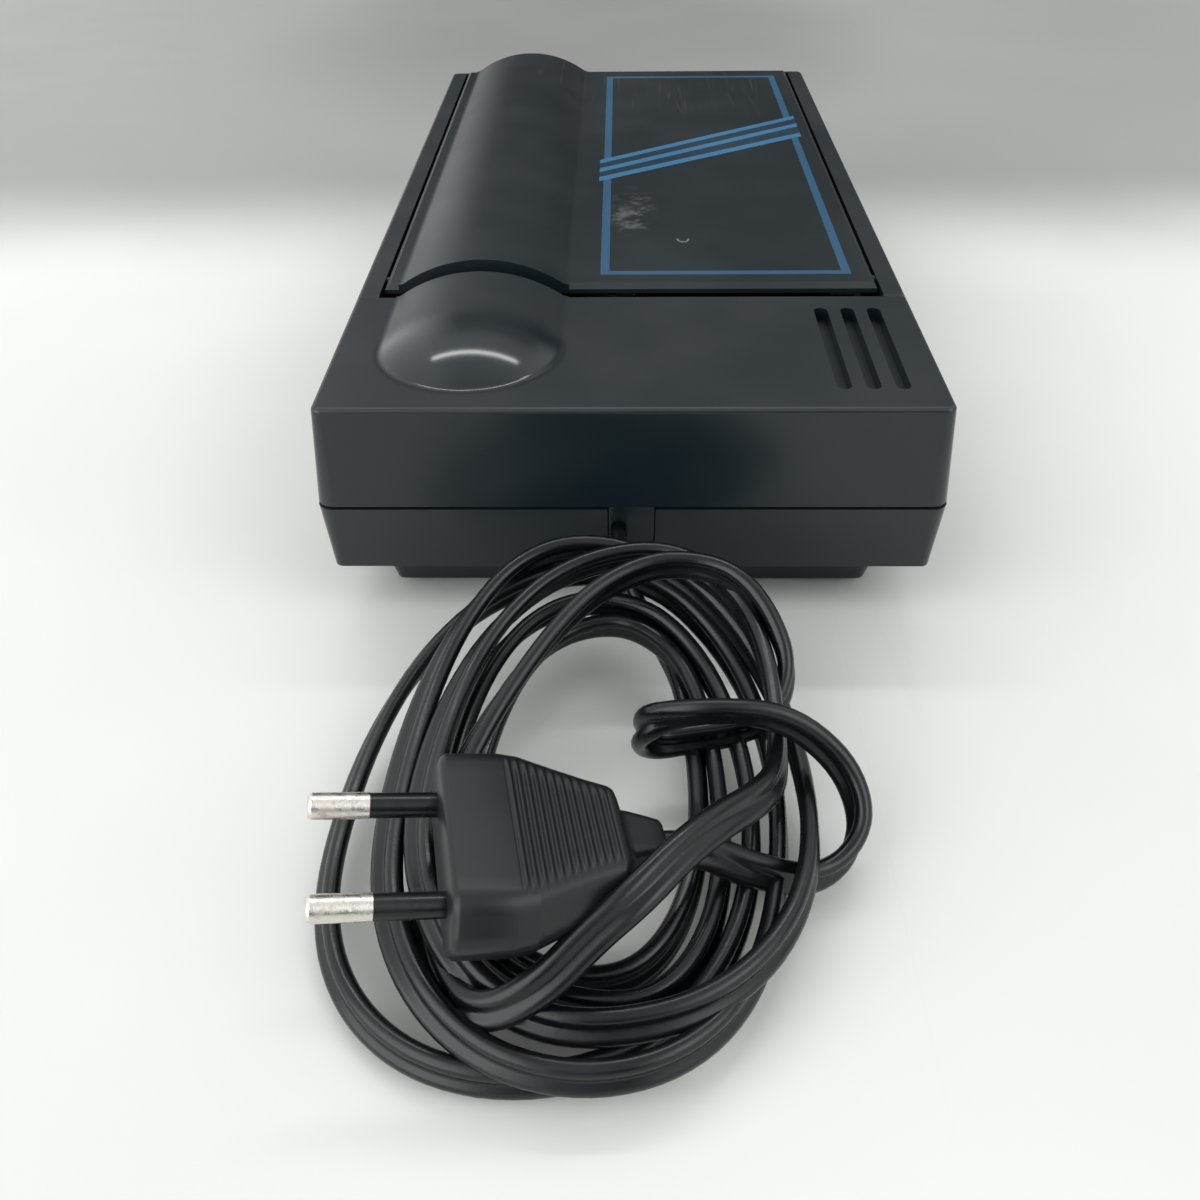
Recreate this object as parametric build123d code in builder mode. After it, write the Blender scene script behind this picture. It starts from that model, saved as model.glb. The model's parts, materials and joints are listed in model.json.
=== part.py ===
"""Video cassette rewinder with a hinged lid and a coiled mains cord, in millimetres.

+X is right and -Y is the rear, where the cord leaves. The origin is on the table, below
the middle of the case.
"""

import os
from math import atan2, cos, pi, sin, sqrt, tan

from build123d import *

os.makedirs("parts", exist_ok=True)

# ------------------------------------------------------------------ driving sizes
# Case
case_width = 125.6
case_length = 248.8
case_height = 50.0
parting_height = 28.2
ledge_height = 12.6
foot_height = 1.5
upper_draft = 1.75
lower_taper = 1.3
base_inset_top = 7.0
base_inset_bottom = 10.5
wall = 2.2
corner_radius = 2.0
edge_radius = 1.0
parting_gap = 0.7
parting_lip = 1.1
seam_depth = 0.6
rear_cover_length = 52.8
seam_gap = 0.2

# Lid, its hump and its gaps
rail_width = 5.0
inner_wall = 2.0
lid_side_gap = 0.8
lid_rear_gap = 4.1
lid_front_gap = 0.6
lid_thickness = 2.2
lid_proud = 1.1
lid_bevel = 1.2
lid_rib_from_side = 19.8
lid_rib_from_hump = 26.0
hump_from_side = 28.8
hump_radius = 33.0
hump_rise = 6.0
hump_flare = 2.5
dome_from_rear = 26.5
hinge_ahead = 8.0
hinge_drop = 2.5
hinge_pin_radius = 1.0

# Vent slots
vent_length = 38.0
vent_width = 3.0
vent_pitch = 5.85
vent_from_side = 14.7
vent_from_rear = 27.0
vent_count = 3
vent_depth = 2.8
vent_floor = 1.2

# Cord tab and its slot
tab_width = 9.3
tab_drop = 11.2
tab_corner = 3.5
tab_gap = 0.25
cord_slot_x = -2.6
cord_slot_drop = 6.6
cord_slot_width = 3.3
cord_slot_height = 6.6

# Cassette that the bay is made for, 103 mm wide in this case
cassette_from_side = 11.3
cassette_thickness = 25.0
cassette_play = 1.8
reel_pitch = 92.0
reel_x = -6.0

# Holder and deck
holder_web = 1.2
holder_gap = 0.9
holder_lip = 3.0
holder_lip_thickness = 1.2
holder_front_gap = 0.6
tongue_from_front = 17.4
tongue_width = 7.0
tongue_step = 0.6
catch_height = 1.4
deck_thickness = 2.0
deck_side_gap = 1.0
deck_drop = 0.6
holder_drop = 1.4
lock_post_from_side = 22.8
lock_post_rise = 6.0
lock_post_radius = 1.8

# Drive
axle_radius = 1.5
running_gap = 0.05
spindle_hub_radius = 8.0
spline_radius = 10.4
spline_count = 6
spindle_rise = 8.5
flange_radius = 15.0
gear_module = 1.0
spindle_teeth = 48
pinion_teeth = 16
gear_width = 3.6
wheel_x_offset = -10.0
wheel_groove_radius = 17.0
motor_groove_radius = 4.5
pulley_width = 3.9
flange_height = 1.2
belt_thickness = 1.4
belt_width = 1.5
pulley_height = 7.8
motor_radius = 15.5
motor_length = 27.0
motor_seat = 17.0
shaft_radius = 1.0

# Release latch
latch_from_side = 19.3
latch_travel = 2.5
latch_width = 5.0
latch_thickness = 2.4
button_width = 14.0
button_height = 5.4
button_proud = 1.4
button_gap = 0.3
button_seat = 3.0
catch_gap = 0.4

# Fits and screws
press_gap = 0.02
screw_gap = 0.1
joined = 0.1
screw_shank = 1.0
screw_head_radius = 2.0
screw_head_height = 1.4
screw_bite = 4.5

# Cord: a flat twin lead, drawn here as a round one of the same section
cord_width = 6.0
cord_thickness = 3.0
cord_radius = 2.1
coil_x = -9.7
coil_y = -189.5
coil_half_width = 38.5
coil_half_length = 48.5
coil_pitch = 7.0
layer_rise = 4.9
coil_slope = 0.22
lower_turns = 3.0
upper_turns = 3.25
steps_per_turn = 4

# Flat two-pin plug
plug_width = 35.3
plug_face_width = 28.0
plug_thickness = 13.7
plug_straight = 9.0
plug_taper = 17.5
collar_length = 7.0
pin_length = 19.0
pin_sleeve = 10.0
pin_radius = 2.0
pin_pitch = 18.6
plug_front = Vector(-28.3, -213.8, 27.0)
plug_turn = 11.0
plug_dip = 11.0

# ------------------------------------------------------------------ worked-out places
half_width = case_width / 2
half_length = case_length / 2
rear = -half_length
hump_x = -half_width + hump_from_side
vent_x = half_width - vent_from_side
latch_x = half_width - latch_from_side
cassette_width = case_width - 2 * cassette_from_side
shell_bottom = parting_height + parting_gap / 2
tray_top = parting_height - parting_gap / 2
seam_y = rear + rear_cover_length
lid_half_width = half_width - rail_width - lid_side_gap
lid_rear = seam_y + lid_rear_gap
lid_front = half_length - wall - lid_front_gap
lid_top = case_height + lid_proud
lid_underside = lid_top - lid_thickness
hinge_y = lid_rear + hinge_ahead
hinge_z = lid_top - hinge_drop
bay_half_width = half_width - rail_width
bay_front = half_length - wall
tray_floor = foot_height + wall
ledge_floor = ledge_height + wall
base_half_width = half_width + upper_draft - lower_taper - base_inset_top
base_half_length = half_length + upper_draft - lower_taper - base_inset_top

cassette_bottom = lid_underside - cassette_play - cassette_thickness
holder_outer = cassette_width / 2 + holder_gap + holder_web
holder_bottom = cassette_bottom - holder_lip_thickness
tongue_x = (holder_outer - holder_web, holder_outer + tongue_step)
tongue_y = (half_length - tongue_from_front - tongue_width, half_length - tongue_from_front)
deck_half_width = bay_half_width + inner_wall + deck_side_gap
platform_top = cassette_bottom - deck_drop
platform_half_width = holder_outer - holder_web - holder_lip - 1.0
deck_top = holder_bottom - holder_drop
deck_low = deck_top - deck_thickness
bay_rear = seam_y + seam_gap + inner_wall
bay_middle = (bay_rear + bay_front) / 2
# The holder's lower front edge swings clear of the front wall as the lid opens.
swing = bay_front - holder_front_gap - hinge_y
holder_y = (lid_rear + 1.0, hinge_y + sqrt(swing**2 - (hinge_z - holder_bottom) ** 2))
drive_place = (reel_x, bay_middle - reel_pitch / 2)
free_place = (reel_x, bay_middle + reel_pitch / 2)

motor_place = (hump_x, rear + dome_from_rear)
gear_distance = gear_module * (spindle_teeth + pinion_teeth) / 2
wheel_place = (
    reel_x + wheel_x_offset,
    drive_place[1] - sqrt(gear_distance**2 - wheel_x_offset**2),
)
gear_low = pulley_height + pulley_width + 0.6
tab_bottom = parting_height - tab_drop
cord_height = parting_height - cord_slot_drop


# ------------------------------------------------------------------ shared shapes
def save(builder, name):
    """Label a finished piece and write it to its own file."""
    builder.part.label = name
    export_step(builder.part, f"parts/{name}.step")


def block(x_range, y_range, z_range, mode=Mode.ADD):
    """Straight-sided block between two corners."""
    spans = (x_range, y_range, z_range)
    middle = [(low + high) / 2 for low, high in spans]
    with Locations(tuple(middle)):
        Box(*[high - low for low, high in spans], mode=mode)


def post(place, z_range, radius, mode=Mode.ADD):
    """Upright round post, or the hole for one."""
    low, high = z_range
    bottom = (Align.CENTER, Align.CENTER, Align.MIN)
    with Locations((place[0], place[1], low)):
        Cylinder(radius, high - low, align=bottom, mode=mode)


def cross_rod(x_range, y, z, radius, mode=Mode.ADD):
    """Round rod along X, or the hole for one."""
    with BuildSketch(Plane.YZ.offset(x_range[0])) as face:
        with Locations((y, z)):
            Circle(radius)
    extrude(face.sketch, amount=x_range[1] - x_range[0], mode=mode)


def tapered_block(z_range, low_half, high_half, corner, mode=Mode.ADD):
    """Block with sloping sides; corner is its upright edges' radius at the narrower end."""
    low, high = z_range
    shrink = low_half[0] - high_half[0]
    with BuildSketch(Plane.XY.offset(low)) as foot_face:
        RectangleRounded(2 * low_half[0], 2 * low_half[1], corner + max(0.0, shrink))
    extrude(foot_face.sketch, amount=high - low, taper=atan2(shrink, high - low) * 180 / pi, mode=mode)


def tray_half(height, inset=0.0):
    """Half width and half length of the lower case at a height."""
    drop = (parting_height - height) / (parting_height - ledge_height)
    spread = upper_draft - lower_taper * drop - inset
    return half_width + spread, half_length + spread


def base_half(height, inset=0.0):
    """Half width and half length of the raised base at a height."""
    drop = (ledge_height - height) / (ledge_height - foot_height)
    spread = (base_inset_top - base_inset_bottom) * drop - inset
    return base_half_width + spread, base_half_length + spread


def shell_half(height, inset=0.0):
    """Half width and half length of the upper case at a height."""
    drop = (case_height - height) / (case_height - parting_height)
    spread = upper_draft * drop - inset
    return half_width + spread, half_length + spread


def upper_shell(builder):
    """Whole upper case, open below, before it is cut into its two mouldings."""
    tapered_block(
        (shell_bottom, case_height), shell_half(shell_bottom), shell_half(case_height), corner_radius
    )
    fillet(builder.faces().sort_by(Axis.Z)[-1].edges(), edge_radius)
    roof = case_height - wall
    tapered_block(
        (shell_bottom, roof),
        shell_half(shell_bottom, wall),
        shell_half(roof, wall),
        corner_radius / 2,
        mode=Mode.SUBTRACT,
    )


def hump_section(plane, crest, radius, flat, floor, flare, whole):
    """Hump seen along the case: a crest arc that runs out into the flat."""
    middle = crest - radius
    if flare:
        reach = sqrt((radius + flare) ** 2 - (flat + flare - middle) ** 2)
        share = radius / (radius + flare)
        touch = (reach * share, middle + (flat + flare - middle) * share)
    else:
        reach = sqrt(radius**2 - (flat - middle) ** 2)
        touch = (reach, flat)
    lean = atan2(touch[0], touch[1] - middle) / 2
    crest_arc = ((0, crest), (radius * sin(lean), middle + radius * cos(lean)), touch)
    with BuildSketch(plane) as face:
        with BuildLine():
            ThreePointArc(*crest_arc)
            if flare:
                centre = Vector(reach, flat + flare)
                way = ((Vector(*touch) - centre).normalized() + Vector(0, -1)).normalized()
                ThreePointArc(touch, centre + way * flare, (reach, flat))
            Polyline((reach, flat), (reach, floor), (0, floor), (0, crest))
        make_face()
        if whole:
            mirror(about=Plane.YZ)
    return face.sketch


def ridge(y_range, crest, radius, flat, floor, flare=0.0, mode=Mode.ADD):
    """Straight stretch of the hump along Y."""
    front = Plane((hump_x, y_range[1], 0), x_dir=(1, 0, 0), z_dir=(0, -1, 0))
    face = hump_section(front, crest, radius, flat, floor, flare, whole=True)
    extrude(face, amount=y_range[1] - y_range[0], mode=mode)


def dome(crest, radius, flat, floor, flare=0.0, mode=Mode.ADD):
    """Round end of the hump."""
    upright = Plane((*motor_place, 0), x_dir=(1, 0, 0), z_dir=(0, -1, 0))
    face = hump_section(upright, crest, radius, flat, floor, flare, whole=False)
    revolve(face, axis=Axis((*motor_place, 0), (0, 0, 1)), mode=mode)


def screw(place, seat, tip, shank_radius, head_radius, head_height):
    """Screw from its seat to its tip, with a domed head and a cross recess."""
    upward = tip > seat
    end = seat - head_height if upward else seat + head_height
    post(place, (min(seat, tip), max(seat, tip)), shank_radius)
    post(place, (min(seat, end), max(seat, end)), head_radius)
    slot_end = end + head_height / 2 if upward else end - head_height / 2
    depth = (min(end, slot_end), max(end, slot_end))
    arm = head_radius * 0.6
    rib = head_radius * 0.15
    for half_x, half_y in ((arm, rib), (rib, arm)):
        block(
            (place[0] - half_x, place[0] + half_x),
            (place[1] - half_y, place[1] + half_y),
            depth,
            mode=Mode.SUBTRACT,
        )


def small_screw(place, seat, post_top):
    """Screw that holds a plate of any thickness down on a post."""
    screw(place, seat, post_top - screw_bite, screw_shank, screw_head_radius, screw_head_height)


def gear_ring(place, z_range, teeth, turn, mode=Mode.ADD):
    """Toothed ring; the first tooth points along the angle turn, in degrees."""
    pitch_radius = gear_module * teeth / 2
    root = pitch_radius - 1.2 * gear_module
    tip = pitch_radius + 0.85 * gear_module
    half_root = 0.95 * gear_module
    half_tip = 0.38 * gear_module
    with BuildSketch(Plane.XY.offset(z_range[0])) as face:
        with Locations(place):
            Circle(root)
            with PolarLocations(0, teeth, start_angle=turn):
                with BuildLine(mode=Mode.PRIVATE) as tooth:
                    Polyline(
                        (root * 0.9, -half_root),
                        (root, -half_root),
                        (tip, -half_tip),
                        (tip, half_tip),
                        (root, half_root),
                        (root * 0.9, half_root),
                        close=True,
                    )
                add(make_face(tooth.edges(), mode=Mode.PRIVATE))
    extrude(face.sketch, amount=z_range[1] - z_range[0], mode=mode)


def tube(points, radii, radius):
    """Round tube along straight runs joined by tangent arcs; returns its length."""
    with BuildLine() as route:
        FilletPolyline(*points, radius=radii)
    way = route.wire()
    with BuildSketch(Plane(way @ 0, z_dir=way % 0)) as face:
        Circle(radius)
    sweep(face.sketch, path=way)
    return way.length


def bend_radii(points, share=0.45):
    """Radius at each corner: as large as its two runs allow."""
    spots = [Vector(*point) for point in points]
    radii = []
    for before, here, after in zip(spots, spots[1:], spots[2:]):
        turn = (here - before).get_angle(after - here) * pi / 180
        run = min((here - before).length, (after - here).length)
        radii.append(share * run / tan(turn / 2))
    return radii


# ------------------------------------------------------------------ lower case
cover_post_x = half_width - 3.8
cover_post_y = (rear + 14.4, seam_y + 31.6, bay_front - 26.2)
cover_posts = [(side * cover_post_x, y) for y in cover_post_y for side in (-1, 1)]
cover_post_radius = 3.6
cover_head_seat = ledge_height + 6.4
cover_screw_tip = case_height - 11.0
cover_shank_radius = 1.4
cover_head_radius = 2.5
cover_head_height = 1.8
deck_post_x = half_width - 5.3
deck_post_y = (seam_y + 11.6, bay_middle + 3.6, bay_front - 10.2)
deck_posts = [(side * deck_post_x, y) for y in deck_post_y for side in (-1, 1)]
deck_post_radius = 3.0

core_size = (24.0, 30.0)
core_middle = (half_width - 26.8, rear + 32.4)
core_low = 8.0
core_height = 28.0
core_ear = 4.0
core_pad = 4.0
bobbin_reach = 5.0
core_posts = [(core_middle[0], core_middle[1] + side * (core_size[1] / 2 + core_ear)) for side in (-1, 1)]
core_top = core_low + core_height
core_x = (core_middle[0] - core_size[0] / 2, core_middle[0] + core_size[0] / 2)
core_y = (core_middle[1] - core_size[1] / 2, core_middle[1] + core_size[1] / 2)

# The circuit board stands midway between the motor and the transformer.
board_middle = ((motor_place[0] + motor_radius + core_x[0] - bobbin_reach) / 2, rear + 29.4)
board_size = (24.0, 34.0)
board_low = 12.4
board_thickness = 1.6
board_post_reach = 13.5
board_posts = [(board_middle[0], board_middle[1] + side * board_post_reach) for side in (-1, 1)]
board_post_radius = 2.4

motor_post_offsets = ((-14.0, 14.0), (14.0, -13.0))
motor_posts = [(motor_place[0] + dx, motor_place[1] + dy) for dx, dy in motor_post_offsets]
motor_plate = (motor_seat - 2.0, motor_seat)
heavy_post_radius = 3.0

clamp_y = (rear + 3.4, rear + 8.4)
clamp_reach = 5.6
clamp_posts = [(cord_slot_x + side * clamp_reach, sum(clamp_y) / 2) for side in (-1, 1)]
clamp_post_radius = 2.2
clamp_low = cord_height + cord_slot_height / 2
clamp_thickness = 2.4

lever_place = (free_place[0] + 30.0, free_place[1] - 20.4)
lever_low = 9.0
boss_radius = 4.0
axle_bosses = {"drive": drive_place, "free": free_place, "wheel": wheel_place, "lever": lever_place}
boss_tops = {
    "drive": gear_low - 2.6,
    "free": gear_low - 2.6,
    "wheel": pulley_height - 0.2,
    "lever": lever_low - 0.2,
}
axle_tops = {
    "drive": platform_top + spindle_rise + 0.6,
    "free": platform_top + spindle_rise + 0.6,
    "wheel": gear_low + gear_width + 0.6,
    "lever": lever_low + 4.0,
}

latch_low = ledge_floor + 0.2
latch_high = latch_low + latch_thickness
latch_middle = (latch_low + latch_high) / 2
latch_guides_y = (half_length - 54.4, half_length - 25.4, half_length - 10.4)
guide_thickness = 2.0
rod_radius = 1.1
button_x = (latch_x - button_width / 2, latch_x + button_width / 2)
button_z = (latch_low - 0.5, latch_low + button_height - 0.1)


def tab_prism(gap, mode):
    """U-shaped prism that the cord tab fills, through the rear wall."""
    half = tab_width / 2 + gap
    with BuildSketch(Plane.XZ.offset(half_length - 2 * wall)) as face:
        with BuildLine():
            corner = tab_corner + gap
            low = tab_bottom - gap
            Line((-half, shell_bottom + gap), (-half, low + corner))
            RadiusArc((-half, low + corner), (-half + corner, low), -corner)
            Line((-half + corner, low), (half - corner, low))
            RadiusArc((half - corner, low), (half, low + corner), -corner)
            Polyline((half, low + corner), (half, shell_bottom + gap), (-half, shell_bottom + gap))
        make_face()
    extrude(face.sketch, amount=4 * wall, mode=mode)


with BuildPart() as lower_housing:
    tapered_block((ledge_height, tray_top), tray_half(ledge_height), tray_half(tray_top), corner_radius)
    tapered_block(
        (foot_height, ledge_height), base_half(foot_height), base_half(ledge_height), corner_radius
    )
    tapered_block(
        (tray_top, shell_bottom),
        tray_half(tray_top, parting_lip),
        tray_half(tray_top, parting_lip),
        corner_radius / 2,
    )
    tapered_block(
        (ledge_floor, shell_bottom),
        tray_half(ledge_floor, wall),
        tray_half(shell_bottom, wall),
        corner_radius / 2,
        mode=Mode.SUBTRACT,
    )
    tapered_block(
        (tray_floor, ledge_floor),
        base_half(tray_floor, wall),
        base_half(ledge_floor, wall),
        corner_radius / 2,
        mode=Mode.SUBTRACT,
    )
    # Posts for the upper case and the deck stand on the ledge round the raised base.
    for place in cover_posts:
        post(place, (ledge_height, tray_top), cover_post_radius)
    for place in deck_posts:
        post(place, (ledge_height, deck_low), deck_post_radius)
    for place in board_posts:
        post(place, (foot_height, board_low), board_post_radius)
    for place in motor_posts:
        post(place, (foot_height, motor_plate[0]), heavy_post_radius)
    for place in core_posts:
        post(place, (foot_height, core_low), heavy_post_radius)
    for place in clamp_posts:
        post(place, (ledge_height, clamp_low), clamp_post_radius)
    for name, place in axle_bosses.items():
        post(place, (foot_height, boss_tops[name]), boss_radius)
        post(place, (tray_floor, boss_tops[name]), axle_radius + press_gap, mode=Mode.SUBTRACT)
    # Cradle under the inner lead, and two pads that the transformer stands on.
    cradle_top = cord_height - cord_width / 2 - 0.15
    block((cord_slot_x - 2.0, cord_slot_x + 2.0), clamp_y, (ledge_height, cradle_top))
    for side in (-1, 1):
        edge = core_middle[1] + side * core_size[1] / 2
        pad = sorted((edge, edge - side * core_pad))
        block(core_x, pad, (foot_height, core_low))
    # Guides of the latch slide.
    for y in latch_guides_y:
        block((latch_x - 4.5, latch_x + 4.5), (y, y + guide_thickness), (foot_height, ledge_floor))
    rod_guide_y = (latch_guides_y[0], latch_guides_y[0] + guide_thickness)
    block((latch_x - 2.6, latch_x + 2.6), rod_guide_y, (ledge_height / 2, latch_high + 0.2))
    with Locations(Location((latch_x, sum(rod_guide_y) / 2, latch_middle), (90, 0, 0))):
        Cylinder(rod_radius + 0.4, 3 * guide_thickness, mode=Mode.SUBTRACT)
    # Window of the release button, long enough for its travel.
    block(
        (button_x[0] - button_gap, button_x[1] + button_gap),
        (half_length - button_seat - latch_travel - button_gap, half_length + wall),
        (button_z[0] - button_gap, button_z[1] + button_gap),
        mode=Mode.SUBTRACT,
    )
    # Screw holes.
    for place in cover_posts:
        post(place, (ledge_height - 1, cover_head_seat), cover_head_radius + 0.2, mode=Mode.SUBTRACT)
        post(place, (cover_head_seat, tray_top), cover_shank_radius + 0.15, mode=Mode.SUBTRACT)
    for place in deck_posts:
        post(place, (ledge_height + 1, deck_low), screw_shank + press_gap, mode=Mode.SUBTRACT)
    for places, top in ((board_posts, board_low), (motor_posts, motor_plate[0]), (core_posts, core_low)):
        for place in places:
            post(place, (top - screw_bite - 0.5, top), screw_shank + press_gap, mode=Mode.SUBTRACT)
    for place in clamp_posts:
        post(place, (clamp_low - screw_bite - 1.5, clamp_low), screw_shank + press_gap, mode=Mode.SUBTRACT)
    tab_prism(tab_gap, Mode.SUBTRACT)
save(lower_housing, "lower_housing")

foot_radius = 5.5
foot_inset = 12.0
foot_x = base_half(foot_height)[0] - foot_inset
foot_y = base_half(foot_height)[1] - foot_inset
with BuildPart() as rubber_feet:
    with Locations((0, 0, foot_height / 2)):
        with GridLocations(2 * foot_x, 2 * foot_y, 2, 2):
            Cylinder(foot_radius, foot_height)
    fillet(rubber_feet.faces().group_by(Axis.Z)[0].edges(), 0.4)
save(rubber_feet, "rubber_feet")

# ------------------------------------------------------------------ upper case
with BuildPart() as tab:
    tapered_block(
        (ledge_height, shell_bottom + 0.01), tray_half(ledge_height), tray_half(shell_bottom), corner_radius
    )
    tapered_block(
        (ledge_height, shell_bottom + 0.01),
        tray_half(ledge_height, wall),
        tray_half(shell_bottom, wall),
        corner_radius / 2,
        mode=Mode.SUBTRACT,
    )
    tab_prism(0.0, Mode.INTERSECT)

hump_crest = case_height + hump_rise
roof = case_height - wall
with BuildPart() as rear_cover:
    upper_shell(rear_cover)
    block((-case_width, case_width), (seam_y, case_length), (0, 2 * case_height), mode=Mode.SUBTRACT)
    chamfer(
        rear_cover.faces().filter_by(Axis.Y).sort_by(Axis.Y)[-1].edges().group_by(Axis.Z)[-1], seam_depth
    )
    ridge((motor_place[1], seam_y), hump_crest, hump_radius, case_height, roof, hump_flare)
    dome(hump_crest, hump_radius, case_height, roof, hump_flare)
    core_crest = hump_crest - wall
    ridge((motor_place[1], seam_y - wall), core_crest, hump_radius - wall, roof, roof - 1, mode=Mode.SUBTRACT)
    dome(core_crest, hump_radius - wall, roof, roof - 1, mode=Mode.SUBTRACT)
    # Wall along the bay, clear of the belt below.
    block(
        (-half_width + 2 * wall, half_width - 2 * wall),
        (seam_y - wall, seam_y),
        (shell_bottom, roof + joined),
    )
    for place in cover_posts[:2]:
        post(place, (shell_bottom, roof + joined), cover_post_radius - 0.4)
        post(place, (shell_bottom, roof - 4), cover_shank_radius + press_gap, mode=Mode.SUBTRACT)
    # Vent grooves with a floor of their own under the roof.
    vent_y = rear + vent_from_rear
    vent_bottom = case_height - vent_depth
    pad_x = ((vent_count - 1) * vent_pitch + vent_width) / 2 + vent_floor
    pad_y = vent_length / 2 + vent_floor
    block(
        (vent_x - pad_x, vent_x + pad_x), (vent_y - pad_y, vent_y + pad_y),
        (vent_bottom - vent_floor, roof + joined),
    )
    with BuildSketch(Plane.XY.offset(vent_bottom)) as vents:
        with Locations((vent_x, vent_y)):
            with GridLocations(vent_pitch, 0, vent_count, 1):
                SlotOverall(vent_length, vent_width, rotation=90)
    extrude(vents.sketch, amount=2 * wall, mode=Mode.SUBTRACT)
    add(tab.part)
    with BuildSketch(Plane.XZ.offset(half_length - 2 * wall)) as cord_hole:
        with Locations((cord_slot_x, cord_height)):
            SlotOverall(cord_slot_height, cord_slot_width, rotation=90)
    extrude(cord_hole.sketch, amount=4 * wall, mode=Mode.SUBTRACT)
save(rear_cover, "rear_cover")

with BuildPart() as front_frame:
    upper_shell(front_frame)
    frame_rear = seam_y + seam_gap
    block((-case_width, case_width), (-case_length, frame_rear), (0, 2 * case_height), mode=Mode.SUBTRACT)
    chamfer(
        front_frame.faces().filter_by(Axis.Y).sort_by(Axis.Y)[0].edges().group_by(Axis.Z)[-1], seam_depth
    )
    block(
        (-bay_half_width, bay_half_width), (-case_length, bay_front), (roof - 1, 2 * case_height),
        mode=Mode.SUBTRACT,
    )
    wall_bottom = deck_top + 0.4
    for side in (-1, 1):
        inner = sorted((side * bay_half_width, side * (bay_half_width + inner_wall)))
        block(inner, (frame_rear, bay_front + wall - 0.4), (shell_bottom, roof + joined))
        block(inner, (frame_rear, bay_front), (wall_bottom, shell_bottom + joined))
    block(
        (-bay_half_width - joined, bay_half_width + joined),
        (frame_rear, frame_rear + inner_wall),
        (wall_bottom, case_height - 4.0),
    )
    for place in cover_posts[2:]:
        post(place, (deck_top, shell_bottom), cover_post_radius + 0.3, mode=Mode.SUBTRACT)
        post(place, (shell_bottom, cover_screw_tip + 3.0), cover_post_radius - 0.4)
        post(place, (shell_bottom, cover_screw_tip + 1.0), cover_shank_radius + press_gap, mode=Mode.SUBTRACT)
    for side in (-1, 1):
        hole = sorted((side * (bay_half_width - 1), side * (bay_half_width + inner_wall + 0.3)))
        cross_rod(hole, hinge_y, hinge_z, hinge_pin_radius + press_gap, mode=Mode.SUBTRACT)
save(front_frame, "front_frame")

with BuildPart() as cover_screws:
    for place in cover_posts:
        screw(
            place, cover_head_seat, cover_screw_tip, cover_shank_radius, cover_head_radius, cover_head_height
        )
save(cover_screws, "cover_screws")

# ------------------------------------------------------------------ deck
deck_head_radius = 2.2
deck_head_height = 1.2
deck_screw_seat = deck_top - deck_head_height
lock_post_place = (bay_half_width - lock_post_from_side, bay_middle)
spindle_hole_radius = spline_radius + 1.4
with BuildPart() as deck_plate:
    block((-deck_half_width, deck_half_width), (bay_rear, bay_front), (deck_low, deck_top))
    block((-platform_half_width, platform_half_width), (bay_rear, bay_front), (deck_low, platform_top))
    under = platform_half_width - deck_thickness
    block(
        (-under, under), (bay_rear - 1, bay_front + 1), (deck_low, platform_top - deck_thickness),
        mode=Mode.SUBTRACT,
    )
    for place in (drive_place, free_place):
        post(place, (deck_low, platform_top), spindle_hole_radius, mode=Mode.SUBTRACT)
    for place in cover_posts:
        post(place, (deck_low, deck_top), cover_post_radius + 0.4, mode=Mode.SUBTRACT)
    for place in deck_posts:
        post(place, (deck_low, deck_top), screw_shank + screw_gap, mode=Mode.SUBTRACT)
        post(place, (deck_screw_seat, deck_top), deck_head_radius + 0.3, mode=Mode.SUBTRACT)
    for side in (-1, 1):
        slot_x = sorted((side * (tongue_x[0] - 0.8), side * (tongue_x[1] + 0.8)))
        block(slot_x, (tongue_y[0] - 1.5, tongue_y[1] + 3.5), (deck_low, deck_top), mode=Mode.SUBTRACT)
    block(
        (button_x[0] - 1.8, button_x[1] + 1.8),
        (half_length - button_seat - latch_travel - 0.4, bay_front),
        (deck_low - 1, platform_top + 1),
        mode=Mode.SUBTRACT,
    )
    # Post that frees the reel lock of a cassette.
    post(lock_post_place, (platform_top - 1, platform_top + lock_post_rise), lock_post_radius)
save(deck_plate, "deck_plate")

with BuildPart() as deck_screws:
    for place in deck_posts:
        screw(place, deck_screw_seat, ledge_height + 1.2, screw_shank, deck_head_radius, deck_head_height)
save(deck_screws, "deck_screws")

# ------------------------------------------------------------------ lid and holder
lid_ribs_end = (lid_half_width - lid_rib_from_side, hump_x + lid_rib_from_hump)
lid_ribs_x = (lid_ribs_end[0], sum(lid_ribs_end) / 2, lid_ribs_end[1])
with BuildPart() as lid:
    block((-lid_half_width, lid_half_width), (lid_rear, lid_front), (lid_underside, lid_top))
    chamfer(lid.faces().sort_by(Axis.Z)[-1].edges(), lid_bevel)
    lid_crest = lid_top + hump_rise
    ridge((lid_rear, lid_front), lid_crest, hump_radius, lid_top, lid_underside, hump_flare)
    ridge(
        (lid_rear + wall, lid_front - wall), lid_crest - wall, hump_radius - wall,
        lid_underside, lid_underside - 1, mode=Mode.SUBTRACT,
    )
    # Stiffening ribs under the plate, clear of the cassette.
    for x in lid_ribs_x:
        block((x - 0.6, x + 0.6), (lid_rear + 4, lid_front - 4), (lid_underside - 0.9, lid_underside))
    for side in (-1, 1):
        cheek = sorted((side * (holder_outer + 0.1), side * lid_half_width))
        block(cheek, (hinge_y - 3.0, hinge_y + 3.0), (hinge_z - 3.0, lid_underside))
        hole = sorted((side * holder_outer, side * (lid_half_width + 1)))
        cross_rod(hole, hinge_y, hinge_z, hinge_pin_radius + running_gap, mode=Mode.SUBTRACT)
save(lid, "lid")

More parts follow.
